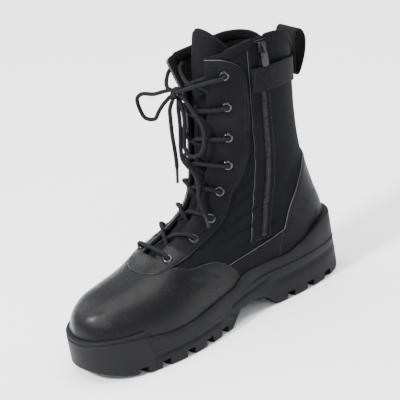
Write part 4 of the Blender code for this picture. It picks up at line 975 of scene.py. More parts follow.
def sew(name, seams):
    """The stitches along some seams, as one piece."""
    looks = bpy.context.scene.boot_looks
    points, along, out = stitch_points(seams, looks.stitch_pitch)
    return worn_on(scattered(name, points, along, out, stitch_shape(), "thread", 0.12, 7))


def grid_piece(name, grid, *materials, ends=True):
    """A closed piece from rings of points that follow each other. Its UV map is in metres, round and
    along."""
    grid = np.asarray(grid, float)
    rings, count = grid.shape[:2]
    mesh = bmesh.new()
    layer = mesh.loops.layers.uv.new("cloth")
    made = [[mesh.verts.new(point) for point in ring] for ring in grid]
    middle = grid[rings // 2]
    run, along = run_along(np.vstack([middle, middle[:1]])), run_along(grid.mean(axis=1))
    for j in range(rings - 1):
        for k in range(count):
            after = (k + 1) % count
            face = mesh.faces.new((made[j][k], made[j][after], made[j + 1][after], made[j + 1][k]))
            for loop, (a, b) in zip(face.loops, ((k, j), (k + 1, j), (k + 1, j + 1), (k, j + 1))):
                loop[layer].uv = (run[a], along[b])
    if ends:
        mesh.faces.new(made[0])
        mesh.faces.new(made[-1])
    bmesh.ops.remove_doubles(mesh, verts=mesh.verts, dist=0.00001)
    return closed_piece(name, mesh, *materials)


def tube(name, path, diameter, *materials, tip=None):
    """A round cord along a line of points, its ends rounded. tip gives each point's share of the diameter."""
    path = np.asarray(path, float)
    tangents = unit(np.gradient(path, axis=0))
    normal = unit(np.cross(tangents[0], (0.31, 0.22, 0.92)))
    rings, angles = [], np.linspace(0.0, 2 * math.pi, CORD_SIDES, endpoint=False)
    shares = np.ones(len(path)) if tip is None else np.asarray(tip, float)
    for k, (point, tangent) in enumerate(zip(path, tangents)):
        normal = unit(normal - tangent * (normal @ tangent))
        side = np.cross(tangent, normal)
        radius = diameter / 2 * shares[k]
        ring = radius * spoke(normal, side, angles)
        if k == 0:
            rings.append(point - tangent * radius * 0.35 + 0.6 * ring)
        rings.append(point + ring)
    rings.append(path[-1] + tangents[-1] * radius * 0.35 + 0.6 * ring)
    return grid_piece(name, rings, *materials)


def spoke(normal, side, angles):
    return np.cos(angles)[:, None] * normal + np.sin(angles)[:, None] * side


def upper_shares(row, per_side, centre):
    """Shares of the upper's points in one row: from the outer side's base over the middle to the inner
    side's."""
    edge = float(throat_share(max(row, THROAT_ROW)))
    side = edge + (1 - edge) * np.linspace(0, 1, per_side + 1)
    middle = np.linspace(-edge, edge, centre + 1)[1:-1]
    return np.concatenate([-side[::-1], middle, side])


def upper_grid(offset, per_side=SIDE_CELLS, centre=THROAT_CELLS, fine=FINE_ROWS, to_collar=True):
    """Rows, shares and points of a fine grid over the whole upper, some way off its face."""
    rows = [MESH_ROWS[0]]
    for low, high in zip(MESH_ROWS, MESH_ROWS[1:]):
        rows += list(np.linspace(low, high, fine + 1)[1:])
    shares = np.array([upper_shares(row, per_side, centre) for row in rows])
    rows = np.repeat(np.array(rows, float)[:, None], shares.shape[1], axis=1)
    if to_collar:
        edge = row_at_height(shares, collar_height(shares))
        spread_rows = SPREAD_ROW + (rows - SPREAD_ROW) * (edge - SPREAD_ROW) / (MESH_ROWS[-1] - SPREAD_ROW)
        rows = np.where(rows > SPREAD_ROW, spread_rows, rows)
        return rows, shares, lifted(rows, shares, offset)
    return rows, shares, surface(rows, shares) + outward(rows, shares) * offset


def build_upper():
    """The canvas upper with its lining, open at the throat and the collar."""
    rows, shares, points = upper_grid(0.0)
    mesh = bmesh.new()
    layer = mesh.loops.layers.uv.new("cloth")
    made = [[mesh.verts.new(point) for point in line] for line in points]
    eyes = np.array([surface(row, side * share) for row, share in EYELETS for side in (1, -1)])
    count = points.shape[1]
    middles = 0.25 * (points[1:, 1:] + points[:-1, 1:] + points[1:, :-1] + points[:-1, :-1])
    holed = (np.linalg.norm(middles[:, :, None] - eyes, axis=-1) < EYELET_HOLE).any(axis=-1)
    for j in range(len(points) - 1):
        for k in range(count - 1):
            throat = rows[j, 0] >= THROAT_ROW - 1e-6 and SIDE_CELLS <= k < count - SIDE_CELLS - 1
            if throat or holed[j, k]:
                continue
            corners = ((j, k), (j, k + 1), (j + 1, k + 1), (j + 1, k))
            face = mesh.faces.new([made[a][b] for a, b in corners])
            for loop, (a, b) in zip(face.loops, corners):
                loop[layer].uv = (shares[a, b] * CHART_SCALE[1], rows[a, b] * CHART_SCALE[0])
    bmesh.ops.remove_doubles(mesh, verts=mesh.verts, dist=0.00001)
    bmesh.ops.delete(mesh, geom=[v for v in mesh.verts if not v.link_faces], context="VERTS")
    bmesh.ops.recalc_face_normals(mesh, faces=mesh.faces)
    mesh.normal_update()
    side = min(mesh.faces, key=lambda face: (face.calc_center_median() - Vector((0.05, -0.1, 0.08))).length)
    if side.normal.x < 0:
        bmesh.ops.reverse_faces(mesh, faces=mesh.faces)
    piece = new_piece("canvas_upper", mesh, "canvas", "lining")
    wall = piece.modifiers.new("lining", "SOLIDIFY")
    wall.thickness, wall.offset = UPPER_WALL, -1.0
    wall.use_even_offset = False
    wall.material_offset = wall.material_offset_rim = 1
    return worn_on(applied(piece), "upper", slot="canvas")


def build_binding():
    """Padded edging over the collar's edge, parted where the zip comes up."""
    top = collar_height(0.6)
    forward = LENGTH * curve(column(ZIP_LINE, 1), column(ZIP_LINE, 0), 1.0)
    zip_share = float(to_chart([(forward, top)])[0, 1])
    gap = BINDING_GAP / CHART_SCALE[1]
    stretches = ((BINDING_ENDS[0], zip_share - gap), (zip_share + gap, BINDING_ENDS[1]))
    for number, (start, end) in enumerate(stretches, 1):
        shares = np.linspace(start, end, max(8, int((end - start) * 100)))
        place = np.where(shares > 1, shares - 2, shares)
        rows = row_at_height(place, collar_height(place))
        points = surface(rows, shares)
        along, _ = slopes_at(rows, shares)
        out, up = outward(rows, shares), unit(along)
        profile = np.array(BINDING) / 1000
        rings = points[:, None] + profile[:, 0, None] * out[:, None] + profile[:, 1, None] * up[:, None]
        worn_on(grid_piece(f"collar_binding_{number}", rings, "binding"))


def build_sole():
    """Rubber sole: a stepped side with lugs, a toe bumper and a cup that the upper stands in."""
    stations = np.unique(np.concatenate([
        0.5 * (1 - np.cos(math.pi * np.arange(1, 180) / 180)),
        np.array(column(TREAD, 0))[1:-1],
        [BUMPER_START - 0.010, BUMPER_START],
    ]))
    halves = [np.array([sole_half(s, side) for s in stations]) for side in (0, 1)]
    forward = np.concatenate([[0.0], stations, [1.0], stations[::-1]])
    across = np.concatenate([[0.0], halves[0], [0.0], -halves[1][::-1]])
    outline = np.stack([across, HEEL_CENTRE - forward * LENGTH], axis=-1)
    tangents = unit(np.roll(outline, -1, axis=0) - np.roll(outline, 1, axis=0))
    normals = np.stack([-tangents[:, 1], tangents[:, 0]], axis=-1)
    levels = np.array([sole_levels(share) for share in forward])
    points = outline[:, None] + normals[:, None] * levels[..., :1]
    rings = np.concatenate([points, levels[..., 1:]], axis=-1).swapaxes(0, 1)
    count = len(forward)
    mesh = bmesh.new()
    made = skin(mesh, rings)
    for ring in (made[0], made[-1]):
        for k in range(len(stations) + 1):
            corners = []
            for vert in (ring[k], ring[k + 1], ring[(count - k - 1) % count], ring[(count - k) % count]):
                if vert not in corners:
                    corners.append(vert)
            mesh.faces.new(corners)
    sole = closed_piece("rubber_sole", mesh, "rubber")
    for cutter in (tread_slots(), side_notches(), tread_runs(), last_form()):
        cut = sole.modifiers.new(cutter.name, "BOOLEAN")
        cut.solver, cut.operation, cut.object = "MANIFOLD", "DIFFERENCE", cutter
        applied(sole)
        bpy.data.objects.remove(cutter)
    sole.data.shade_smooth()
    sole.data.set_sharp_from_angle(angle=math.radians(38))
    return worn_on(sole, "outsole", slot="rubber")


def sole_half(share, side):
    """Half width of the sole's outline on one side, at a share of LENGTH."""
    ratios = []
    for station, *widths in SOLE_OUTLINE:
        width = widths[side] * BALL_WIDTH
        if station in (0.0, 1.0):
            ratios.append(math.sqrt(width * LENGTH / 2))
        else:
            ratios.append(width / (2 * math.sqrt(station * (1 - station))))
    return float(curve(column(SOLE_OUTLINE, 0), ratios, share)) * 2 * math.sqrt(max(share * (1 - share), 0.0))


def tread_height(share):
    return HEEL_SEAT * float(np.interp(share, column(TREAD, 0), column(TREAD, 1)))


def sole_levels(share):
    """Outward offset and height of each level of the sole's side, from the tread to the upper edge."""
    bottom = tread_height(share)
    bumper = float(np.clip((share - BUMPER_START + 0.010) / 0.010, 0.0, 1.0))
    top = (1 - bumper) * float(rim_height(share)) + bumper * BUMPER_HEIGHT
    heel = 1 - min(max((share - 0.36) / 0.08, 0.0), 1.0)
    plain = heel * HEEL_STEP_HEIGHT + (1 - heel) * (bottom + 0.62 * (top - bottom))
    step = (1 - bumper) * plain + bumper * (top - BUMPER_LIP)
    proud = bumper * BUMPER_PROUD
    groove = SIDE_GROOVE * max(bumper, 0.25 + 0.75 * heel)
    low = bottom + SOLE_CHAMFER
    body = np.linspace(low, step - 0.0016, 15)
    forward = share * LENGTH
    rows = [(-SOLE_CHAMFER, bottom), (-0.4 * SOLE_CHAMFER, bottom + 0.0006), (proud - 0.0006, low - 0.0008)]
    for z in body:
        dip = 0.0
        for start, end, height_start, height_end, width, depth in SOLE_TROUGHS:
            t = (forward - start) / (end - start)
            if -0.15 < t < 1.15:
                middle = height_start + (height_end - height_start) * t
                fade = float(ease(min(t + 0.15, 1.15 - t) / 0.15))
                dip += depth * fade * math.exp(-(((z - middle) / width) ** 2))
        rows.append((proud - dip, z))
    rows += [
        (proud - groove, step - 0.0006),
        (proud - groove, step + 0.0006),
        (proud - 0.0003, step + 0.0016),
        (proud - 0.2 * SOLE_DRAFT, 0.5 * (step + 0.0016 + top - 0.0010)),
        (proud - 0.4 * SOLE_DRAFT, top - 0.0010),
        (proud - 0.75 * SOLE_DRAFT, top - 0.0003),
        (proud - SOLE_DRAFT - 0.0007, top),
    ]
    return rows


def last_form():
    """Helper shape of the space inside the sole's cup."""
    rows, _, points = upper_grid(0.0010, 30, 6, 3, False)
    mesh = bmesh.new()
    made = skin(mesh, points, around=False)
    feet = [line for line, row in zip(made, rows[:, 0]) if row <= FIRST_SHAFT_ROW]
    floor = []
    for line in feet:
        pair = []
        for vert in (line[0], line[-1]):
            x, y, z = vert.co
            level = min(float(seat_height((HEEL_CENTRE - y) / LENGTH)), z - 0.5 * MARGIN_LIFT)
            pair.append(mesh.verts.new((x, y, level)))
        floor.append(pair)
    for j in range(len(feet) - 1):
        (a, b), (c, d) = floor[j], floor[j + 1]
        mesh.faces.new((a, b, d, c))
        mesh.faces.new((feet[j][0], feet[j + 1][0], c, a))
        mesh.faces.new((feet[j][-1], feet[j + 1][-1], d, b))
    mesh.faces.new((feet[0][0], feet[0][-1], floor[0][1], floor[0][0]))
    mesh.faces.new((feet[-1][0], feet[-1][-1], floor[-1][1], floor[-1][0]))
    mesh.faces.new(made[-1])
    bmesh.ops.remove_doubles(mesh, verts=mesh.verts, dist=0.00002)
    bmesh.ops.dissolve_degenerate(mesh, edges=mesh.edges, dist=0.00001)
    bmesh.ops.holes_fill(mesh, edges=[edge for edge in mesh.edges if edge.is_boundary], sides=0)
    return closed_piece("last_form", mesh)


def blocks(name, boxes):
    """Helper blocks that reach down from a height. Each box is its middle across, its middle as a share of
    LENGTH, the height of its top, and its sizes across and along."""
    mesh = bmesh.new()
    for across, share, top, wide, long in boxes:
        place = (across, HEEL_CENTRE - share * LENGTH, top - BLOCK_DEPTH / 2)
        shape = Matrix.Diagonal((wide, long, BLOCK_DEPTH, 1.0))
        bmesh.ops.create_cube(mesh, size=1.0, matrix=Matrix.Translation(place) @ shape)
    return new_piece(name, mesh)


def tread_slots():
    """Helper shapes of the slots across the tread, between the lugs."""
    shares = (*HEEL_CHANNELS, *FOREFOOT_CHANNELS)
    return blocks("tread_slots", [
        (0.0, share, tread_height(share) + LUG_DEPTH, BALL_WIDTH * 1.6, LUG_GAP) for share in shares
    ])


def side_notches():
    """Helper shapes that widen each slot where it meets the sole's side, and notch the back of the heel."""
    shares = (HEEL_NOTCH, *HEEL_CHANNELS, *FOREFOOT_CHANNELS)
    boxes = []
    for share in shares:
        top = tread_height(share) + 1.4 * LUG_DEPTH
        for side, half in ((1, sole_half(share, 0)), (-1, sole_half(share, 1))):
            boxes.append((side * (half + NOTCH_OUT), share, top, NOTCH_LENGTH, 1.35 * LUG_GAP))
    return blocks("side_notches", boxes)


def tread_runs():
    """Helper shapes of the slots along the middle of the tread."""
    return blocks("tread_runs", [
        (0.0, 0.5 * (start + end), RUN_DEPTH, RUN_WIDTH, (end - start) * LENGTH) for start, end in TREAD_RUNS
    ])


def build_tongue():
    """Padded tongue under the throat, thin along its sides and full at its top."""
    table = np.array(TONGUE_ROWS)
    rows = np.linspace(table[0, 0], table[-1, 0], 110)
    half = curve(table[:, 0], table[:, 1], rows)
    lean = np.interp(rows, table[:, 0], table[:, 2])
    across = np.cos(np.linspace(math.pi, 0.0, 21))
    rings = []
    for k, row in enumerate(rows):
        left = rows[-1] - row
        wide = 1 + TONGUE_WIDER * float(ease((row - TONGUE_WIDENS) / 2.6))
        level = row - TONGUE_DOME * float(ease(1 - left / 1.5)) * across**2
        share = across * half[k] * wide
        full = float(ease((row - TONGUE_FILLS) / 2.5))
        round_top = math.sqrt(max(1 - (1 - left / 0.22) ** 2, 0.02)) if left < 0.22 else 1.0
        depth = UPPER_WALL + TONGUE_CLEARANCE + lean[k] * TONGUE_LEAN
        droop = 0.0018 * ease((np.abs(across) - 0.55) / 0.45) * (1 - full)
        thick = (TONGUE - 0.0004) * np.sqrt(np.maximum(1 - across**6, 0.06))
        quilted = np.exp(-((np.abs(across) - 0.80) / 0.05) ** 2)
        crown = full * 0.0014 * (1 - across**4) - full * 0.0011 * quilted
        base, out = surface(level, share, False), outward(level, share, False)
        middle = -depth - TONGUE / 2 - droop
        high = middle + round_top * (thick / 2 + crown)
        low = middle - round_top * thick / 2
        top_line, low_line = base + out * high[:, None], base + out * low[:, None]
        rings.append(np.vstack([top_line, low_line[::-1]]))
    piece = grid_piece("padded_tongue", rings, "tongue_cloth")
    worn_on(piece, "tongue", slot="textile")
    return piece


def band_rings(centres, outs, sides, width, thickness):
    """Closed cross-sections of flat webbing from its middle line, its outward and its sideways directions."""
    half, thick = width / 2, thickness / 2
    across = np.linspace(-half + WEBBING_EDGE, half - WEBBING_EDGE, 9)
    profile = [(a, thick) for a in across] + [(half, 0.0)] + [(a, -thick) for a in across[::-1]]
    profile = np.array([*profile, (-half, 0.0)])
    return centres[:, None] + profile[:, :1] * sides[:, None] + profile[:, 1:] * outs[:, None]


def strap_frames():
    """Middle line of the ankle strap with its outward and sideways directions."""
    line = scaled(STRAP_LINE)
    shares = np.linspace(STRAP_LIFT[0][0], STRAP_LIFT[-1][0], STRAP_STEPS)
    lift = GAP + ZIP_HEIGHT * curve(column(STRAP_LIFT, 0), column(STRAP_LIFT, 1), shares)
    edges = []
    for edge in (-0.5, 0.5):
        moved = line + (0, edge * STRAP_WIDTH)
        rows = row_on_line(shares, moved)
        edges.append(surface(rows, shares) + outward(rows, shares) * lift[:, None])
    low, high = edges
    sides = unit(high - low)
    outs = unit(np.cross(np.gradient(0.5 * (low + high), axis=0), sides))
    return 0.5 * (low + high), outs, sides


def row_on_line(share, line):
    """Rows where lines of constant share cross a line drawn on the side view."""
    place = np.where(np.asarray(share) > 1, np.asarray(share) - 2, share)

    def below(points):
        return points[..., 2] < np.interp(HEEL_CENTRE - points[..., 1], line[:, 0], line[:, 1])

    return row_where(place, below)


def build_strap():
    """Webbing strap over the top of the zip, with its box stitches."""
    centres, outs, sides = strap_frames()
    if (outs[STRAP_STEPS // 2] @ outward([14.0], [0.7])[0]) < 0:
        outs = -outs
    rings = band_rings(centres + outs * STRAP / 2, outs, sides, STRAP_WIDTH - 0.0006, STRAP)
    piece = worn_on(grid_piece("webbing_strap", rings, "webbing"), "ankle_strap", slot="textile")
    run = run_along(centres)
    points, along, out = [], [], []

    def stitch_line(ts, ws):
        spots, ups, crosswise = (read_at(run, values, ts) for values in (centres, outs, sides))
        line = spots + ups * (STRAP + 0.00005) + crosswise * ws[:, None]
        points.extend(0.5 * (line[1:] + line[:-1]))
        along.extend(unit(np.diff(line, axis=0)))
        out.extend(unit(ups[1:]))

    edge = STRAP_WIDTH / 2 - 0.0028
    for start, end in ((0.003, 0.019), (run[-1] - 0.021, run[-1] - 0.004)):
        count = max(4, int((end - start) / 0.0027))
        ts = np.linspace(start, end, count)
        for w in (-edge, edge):
            stitch_line(ts, np.full(count, w))
        wide = np.linspace(-edge, edge, 8)
        for t in (start, end):
            stitch_line(np.full(8, t), wide)
        stitch_line(np.linspace(start, end, 9), np.linspace(-edge, edge, 9))
        stitch_line(np.linspace(start, end, 9), np.linspace(edge, -edge, 9))
    stitches = scattered("strap_stitches", points, along, out, stitch_shape(), "thread", 0.1, 11)
    worn_on(stitches)
    return piece


def build_pull_loop():
    """Loop of webbing at the back, sewn down below the strap."""
    back = row_on_line(np.array([1.0]), scaled(STRAP_LINE))
    seat = surface(back, 1.0)[0]
    count = len(PULL_LOOP)
    closed = np.array([*PULL_LOOP[-3:], *PULL_LOOP, *PULL_LOOP[:3]])
    path = curve(np.arange(-3, count + 3), closed, np.linspace(0, count, 130, endpoint=False))
    centres = np.stack([np.zeros(len(path)), -path[:, 0], path[:, 1]], axis=-1) + seat
    tangents = unit(np.roll(centres, -1, axis=0) - np.roll(centres, 1, axis=0))
    sides = np.tile((1.0, 0.0, 0.0), (len(path), 1))
    outs = np.cross(tangents, sides)
    rings = band_rings(centres, outs, sides, PULL_LOOP_WIDTH - 0.0004, STRAP)
    rings = np.concatenate([rings, rings[:1]])
    piece = grid_piece("webbing_loop", rings, "webbing", ends=False)
    return worn_on(piece, "pull_loop", slot="textile")


def build_eyelets():
    """All eyelets as one piece of turned rings."""
    face = GAP + FACING
    tail = -UPPER_WALL - EYELET_TAIL
    profile = [(radius / 1000, face + rise / 1000) for radius, rise in EYELET_FACE]
    profile += [(radius / 1000, tail) for radius in EYELET_BARREL]
    places = np.array([(row, side * share) for row, share in EYELETS for side in (1, -1)])
    points = surface(places[:, 0], places[:, 1])
    outs = outward(places[:, 0], places[:, 1])
    along, _ = slopes_at(places[:, 0], places[:, 1])
    shape = turned_shape("eyelet_ring", profile, EYELET_STEPS)
    piece = scattered("eyelets", points, unit(along), outs, shape, "metal")
    piece.data.set_sharp_from_angle(angle=math.radians(50))
    nodes = [f"eyelet_{side}_{k + 1}" for side in ("inner", "outer") for k in range(len(EYELETS))]
    return worn_on(piece, *nodes, slot="dark_metal")


def lace_places():
    """Rows, shares and lifts that the lace runs through, knot to knot, through every eyelet."""
    bore, mouth, rim = -0.0050, 0.0042, 0.0066

    def run(side):
        spots = [(EYELETS[0][0] - 0.6 * TOP_DROP, side * TOP_SHARE * 1.6, 0.0072)]
        row, share = EYELETS[0]
        spots.append((row - 0.08, side * share * 0.93, rim))
        spots += [(row, side * share, mouth), (row, side * share, bore)]
        now = side
        for k, ((row, share), (next_row, next_share)) in enumerate(zip(EYELETS, EYELETS[1:])):
            if k == 0:
                middle = -0.0008 if side > 0 else 0.0026
                stops = [(0.15, -0.0062), (0.30, -0.0052), (0.5, middle), (0.70, -0.0048)]
            else:
                over = (k % 2 == 1) == (side > 0)
                stops = [(0.10, rim), (0.20, 0.0058), (0.34, 0.0036), (0.5, 0.0042 if over else 0.0002)]
            for t, lift in [*stops, (0.76, -0.0044), (0.86, -0.0054)]:
                spots.append((row + (next_row - row) * t, now * (share + (-next_share - share) * t), lift))
            now = -now
            spots += [(next_row, now * next_share, bore), (next_row, now * next_share, mouth)]
        return spots, now

    first, side = run(1)
    second, _ = run(-1)
    row, share = EYELETS[-1]
    bar = [(row - 0.05 * math.sin(math.pi * t), side * share * (1 - 2 * t), lift)
           for t, lift in ((0.10, rim), (0.3, 0.0052), (0.5, 0.0046), (0.7, 0.0052), (0.90, rim))]
    return np.array([*first, *bar, *second[::-1]])


def placed(points):
    """Places of the lace's tables in the frame of the solids."""
    return np.array([(x, HEEL_CENTRE - y, z) for x, y, z in points])


def build_lacing():
    """The lace through the eyelets as one braided cord, from one side of the knot to the other."""
    places = lace_places()
    base = surface(places[:, 0], places[:, 1])
    points = base + outward(places[:, 0], places[:, 1]) * places[:, 2:]
    knot = placed([KNOT])[0]
    ends = [knot + (offset[0], -offset[1], offset[2]) for _, offset in KNOT_ENTRIES]
    points = np.vstack([knot + (0.002, 0, 0.001), ends[0], points, ends[1], knot + (-0.002, 0, 0.001)])
    path = smooth_cord(points, CORD_SPACING)
    piece = tube("braided_lacing", path, bpy.context.scene.boot_looks.lace_diameter, "lace")
    return worn_on(piece, "lacing", slot="lace")


def smooth_cord(points, spacing):
    """Evenly spaced points on a smooth line through a few, with its curve set by their distances."""
    points = np.asarray(points, float)
    run = np.concatenate([[0.0], np.cumsum(np.sqrt(np.linalg.norm(np.diff(points, axis=0), axis=1)))])
    dense = curve(run, points, np.linspace(0.0, run[-1], 30 * len(points)))
    return respaced(dense, spacing)


def build_bow():
    """The knot, the two loops of the bow and the two loose ends, of the photographed length."""
    looks = bpy.context.scene.boot_looks
    knot = placed([KNOT])[0]
    angles = np.linspace(-0.3 * math.pi, 2.9 * math.pi, 60)
    turns = np.stack([
        np.linspace(-0.0026, 0.0026, 60), -0.0037 * np.cos(angles), 0.0040 * np.sin(angles)
    ], axis=-1)
    core = smooth_cord(np.array([(-0.0068, -0.0012, 0.0012), (-0.003, 0.0, 0.0004), (0.002, 0.0, 0.0002),
                                 (0.0062, -0.0010, -0.0016)]), 0.001)
    mesh = bmesh.new()
    for part in (turns, core):
        helper = tube("knot_part", knot + part, looks.lace_diameter, "lace")
        mesh.from_mesh(helper.data)
        bpy.data.objects.remove(helper)
    tied = worn_on(new_piece("tied_knot", mesh, "lace"), "lace_knot", slot="lace")
    for name, table, node, far_end in (
        ("bow_loop_outer", LOOP_OUTER, "lace_loop_outer", "object"),
        ("bow_loop_inner", LOOP_INNER, "lace_loop_inner", "object"),
        ("lace_end_left", END_OUTER, "lace_end_outer", "bare"),
        ("lace_end_right", END_INNER, "lace_end_inner", "bare"),
    ):
        path = smooth_cord(placed(table), CORD_SPACING)
        piece = tube(name, path, looks.lace_diameter, "lace", "lace_tip", tip=tip_shares(path, far_end))
        if far_end == "bare":
            for face in piece.data.polygons:
                near = np.linalg.norm(np.array(piece.data.vertices[face.vertices[0]].co) - path[-1])
                face.material_index = 1 if near < looks.tip_length else 0
        worn_on(piece, node, slot="lace")


def tip_shares(path, far_end):
    """Share of the lace's diameter at each point: the hard tips of loose ends are a little thinner."""
    if far_end != "bare":
        return np.ones(len(path))
    left = np.concatenate([np.cumsum(np.linalg.norm(np.diff(path, axis=0), axis=1)[::-1])[::-1], [0.0]])
    return 1 - 0.28 * ease((bpy.context.scene.boot_looks.tip_length + 0.001 - left) / 0.0015)


def rounded_copy(node, name, bevel, body):
    """A copy of a solid with its edges rounded, riding where it rides."""
    source = bpy.data.objects[node]
    mesh = bmesh.new()
    mesh.from_mesh(source.data)
    bmesh.ops.remove_doubles(mesh, verts=mesh.verts, dist=0.00002)
    bmesh.ops.dissolve_limit(mesh, angle_limit=math.radians(2), verts=mesh.verts, edges=mesh.edges)
    piece = new_piece(name, mesh, "zip_metal")
    piece.data.set_sharp_from_angle(angle=math.radians(30))
    edges = piece.modifiers.new("edges", "BEVEL")
    edges.width, edges.segments, edges.limit_method = bevel, 2, "ANGLE"
    edges.angle_limit = math.radians(30)
    applied(piece)
    piece.data.shade_smooth()
    piece.data.set_sharp_from_angle(angle=math.radians(45))
    return worn_on(piece, node, body=body, slot="dark_metal")


def build_zip():
    """The zip: its woven tape, two rows of teeth that mesh, the slider and its pull."""
    line = smooth_line(scaled(ZIP_LINE))
    edge = to_chart(line)
    collar = collar_height(edge[:, 1])
    kept = line[(line[:, 1] < collar - 0.0015)]
    front, rear = kept + (TAPE_FRONT, 0), kept - (TAPE_REAR, 0)
    across_top = np.linspace(front[-1], rear[-1], 12)
    across_low = np.linspace(rear[0], front[0], 12)
    parts = [
        (to_chart(front), True, TAPE_ROW),
        (to_chart(across_top), False, ()),
        (to_chart(rear[::-1]), True, TAPE_ROW),
        (to_chart(across_low), True, TAPE_ROW),
    ]
    tape, seams = panel("woven_tape", parts, TAPE, "tape")
    worn_on(tape, "zip_tape", slot="textile")
    base = GAP + TAPE
    places = even(to_chart(kept), TOOTH_PITCH)[4:-2]
    lift = np.full(len(places), base + 0.0006)
    points = lifted(places[:, 0], places[:, 1], lift)
    along = unit(np.gradient(points, axis=0))
    outs = outward(places[:, 0], places[:, 1])
    crosswise = np.cross(outs, along)
    hand = np.where(np.arange(len(points)) % 2 == 0, 1.0, -1.0)
    teeth = points + crosswise * (hand * TOOTH_SHIFT)[:, None]
    shape = box_shape("tooth", TOOTH, 0.00022)
    chain = scattered("zip_teeth", teeth, along, outs, shape, "zip_metal")
    worn_on(chain, "zip_chain", slot="dark_metal")
    rounded_copy("zip_slider", "zip_slider_body", 0.00028, "boot")
    rounded_copy("zip_pull", "zip_pull_tab", 0.00022, "zip_pull")
    sew("zip_stitches", seams)


def below_collar(line):
    """The same places, kept under the collar's edge."""
    edge = row_at_height(line[:, 1], collar_height(line[:, 1]) - 0.0006)
    rows = np.where(line[:, 0] > LIMIT_ROW, np.minimum(line[:, 0], edge), line[:, 0])
    return np.stack([rows, line[:, 1]], axis=-1)


def throat_edge(start, end, side=1):
    """Places along the throat's edge between two rows."""
    rows = np.linspace(start, end, 80)
    return np.stack([rows, side * throat_share(rows)], axis=-1)


def up_to_back(line):
    """The part of a side-view line in front of the back of the leg, with a last place on the back."""
    rows = np.linspace(FIRST_SHAFT_ROW, VIRTUAL_TOP, 300)
    back = surface(rows, 1.0)
    over = line[:, 0] - np.interp(line[:, 1], back[:, 2], HEEL_CENTRE - back[:, 1])
    first = int(np.argmax(over < 0.0004))
    row = float(np.interp(line[first, 1], back[:, 2], rows))
    return np.vstack([to_chart(line[:first]), [(row, 1.0)]])


def leather_layer(name, node, parts, thickness, material, holes=()):
    """A leather layer in the place of a solid. Returns the lines to sew."""
    piece, seams = panel(name, parts, thickness, material, holes=near_holes(holes, parts))
    worn_on(piece, node, slot={"polished": "leather", "matt": "matt_leather"}[material])
    return seams


def both_sides(parts):
    """The parts of an outline on the inner side, and the same ones on the outer side in the other order."""
    return [*parts, *[(mirrored(line), shows, sewn) for line, shows, sewn in reversed(parts)]]


def build_vamp():
    """Polished leather over the toe and the sides of the forefoot."""
    front, rear, heel = to_ridge(FLAP_FRONT)[::-1], side_line(VAMP_REAR), side_line(VAMP_HEEL)
    rim = np.vstack([rim_places(*VAMP_RIM), toe_places()])
    toe = np.stack([np.zeros(40), np.linspace(rim[-1, 1], -rim[-1, 1], 40)], axis=-1)
    half = [(front, True, ()), (np.vstack([rear, heel[1:]]), True, DOUBLE_ROW), (rim, False, ())]
    parts = both_sides(half)
    parts.insert(len(half), (toe, False, ()))
    sew("vamp_stitches", leather_layer("vamp_leather", "vamp", parts, LEATHER, "polished"))


def build_flap():
    """Leather flap round the foot of the throat, sewn over the vamp."""
    front, lower = to_ridge(FLAP_FRONT)[::-1], side_line(FLAP_LOWER)
    seam = cut_at_edge(side_line(FACING_SEAM), throat_share)
    down = throat_edge(seam[-1, 0], THROAT_ROW)
    edge = float(throat_share(THROAT_ROW))
    across = np.stack([np.full(20, THROAT_ROW), np.linspace(edge, -edge, 20)], axis=-1)
    half = [(front, True, TRIPLE_ROW), (lower, True, DOUBLE_ROW), (seam, True, ()), (down, True, SINGLE_ROW)]
    parts = both_sides(half)
    parts.insert(len(half), (across, True, SINGLE_ROW))
    holes = [hole_places(row, side * share) for row, share in EYELETS for side in (1, -1)]
    sew("flap_stitches", leather_layer("throat_leather", "throat_flap", parts, FACING, "polished", holes))


def near_holes(holes, parts):
    """The holes that lie inside an outline."""
    outline = np.vstack([part[0] for part in parts]) * CHART_SCALE
    return [hole for hole in holes if inside((hole * CHART_SCALE).mean(axis=0)[None], outline)[0]]


def build_facings():
    """Leather facings that carry the eyelets, one on each side of the throat."""
    seams = []
    for side, name in ((1, "inner"), (-1, "outer")):
        rear = below_collar(cut_at_edge(side_line(FACING_REAR, side), throat_share))
        seam = cut_at_edge(side_line(FACING_SEAM, side), throat_share)
        down = throat_edge(rear[-1, 0], seam[-1, 0], side)
        parts = [(rear, True, DOUBLE_ROW), (down, True, SINGLE_ROW), (seam[::-1], True, DOUBLE_ROW)]
        holes = [hole_places(row, side * share) for row, share in EYELETS]
        seams += leather_layer(f"facing_leather_{name}", f"facing_{name}", parts, FACING, "matt", holes)
    sew("facing_stitches", seams)


def build_sides():
    """Leather along the waist of the foot, one piece on each side."""
    seams = []
    for side, name in ((1, "inner"), (-1, "outer")):
        heel = side_line(VAMP_HEEL, side)[3:]
        rim = rim_places(*MUDGUARD_RIM, side)
        table = scaled(COUNTER_FRONT)
        line = smooth_line(table)
        line = to_chart(line[line[:, 1] <= table[3, 1]], side)
        top = side_line(MUDGUARD_TOP, side)[::-1]
        parts = [(heel, True, ()), (rim, False, ()), (line, True, ()), (top[:-3], True, DOUBLE_ROW)]
        seams += leather_layer(f"side_leather_{name}", f"mudguard_{name}", parts, LEATHER, "matt")
    sew("side_stitches", seams)


def round_back(line):
    """The same places on the other side, past the back and in the other order."""
    return (np.array([0.0, 2.0]) + line * (1, -1))[::-1]


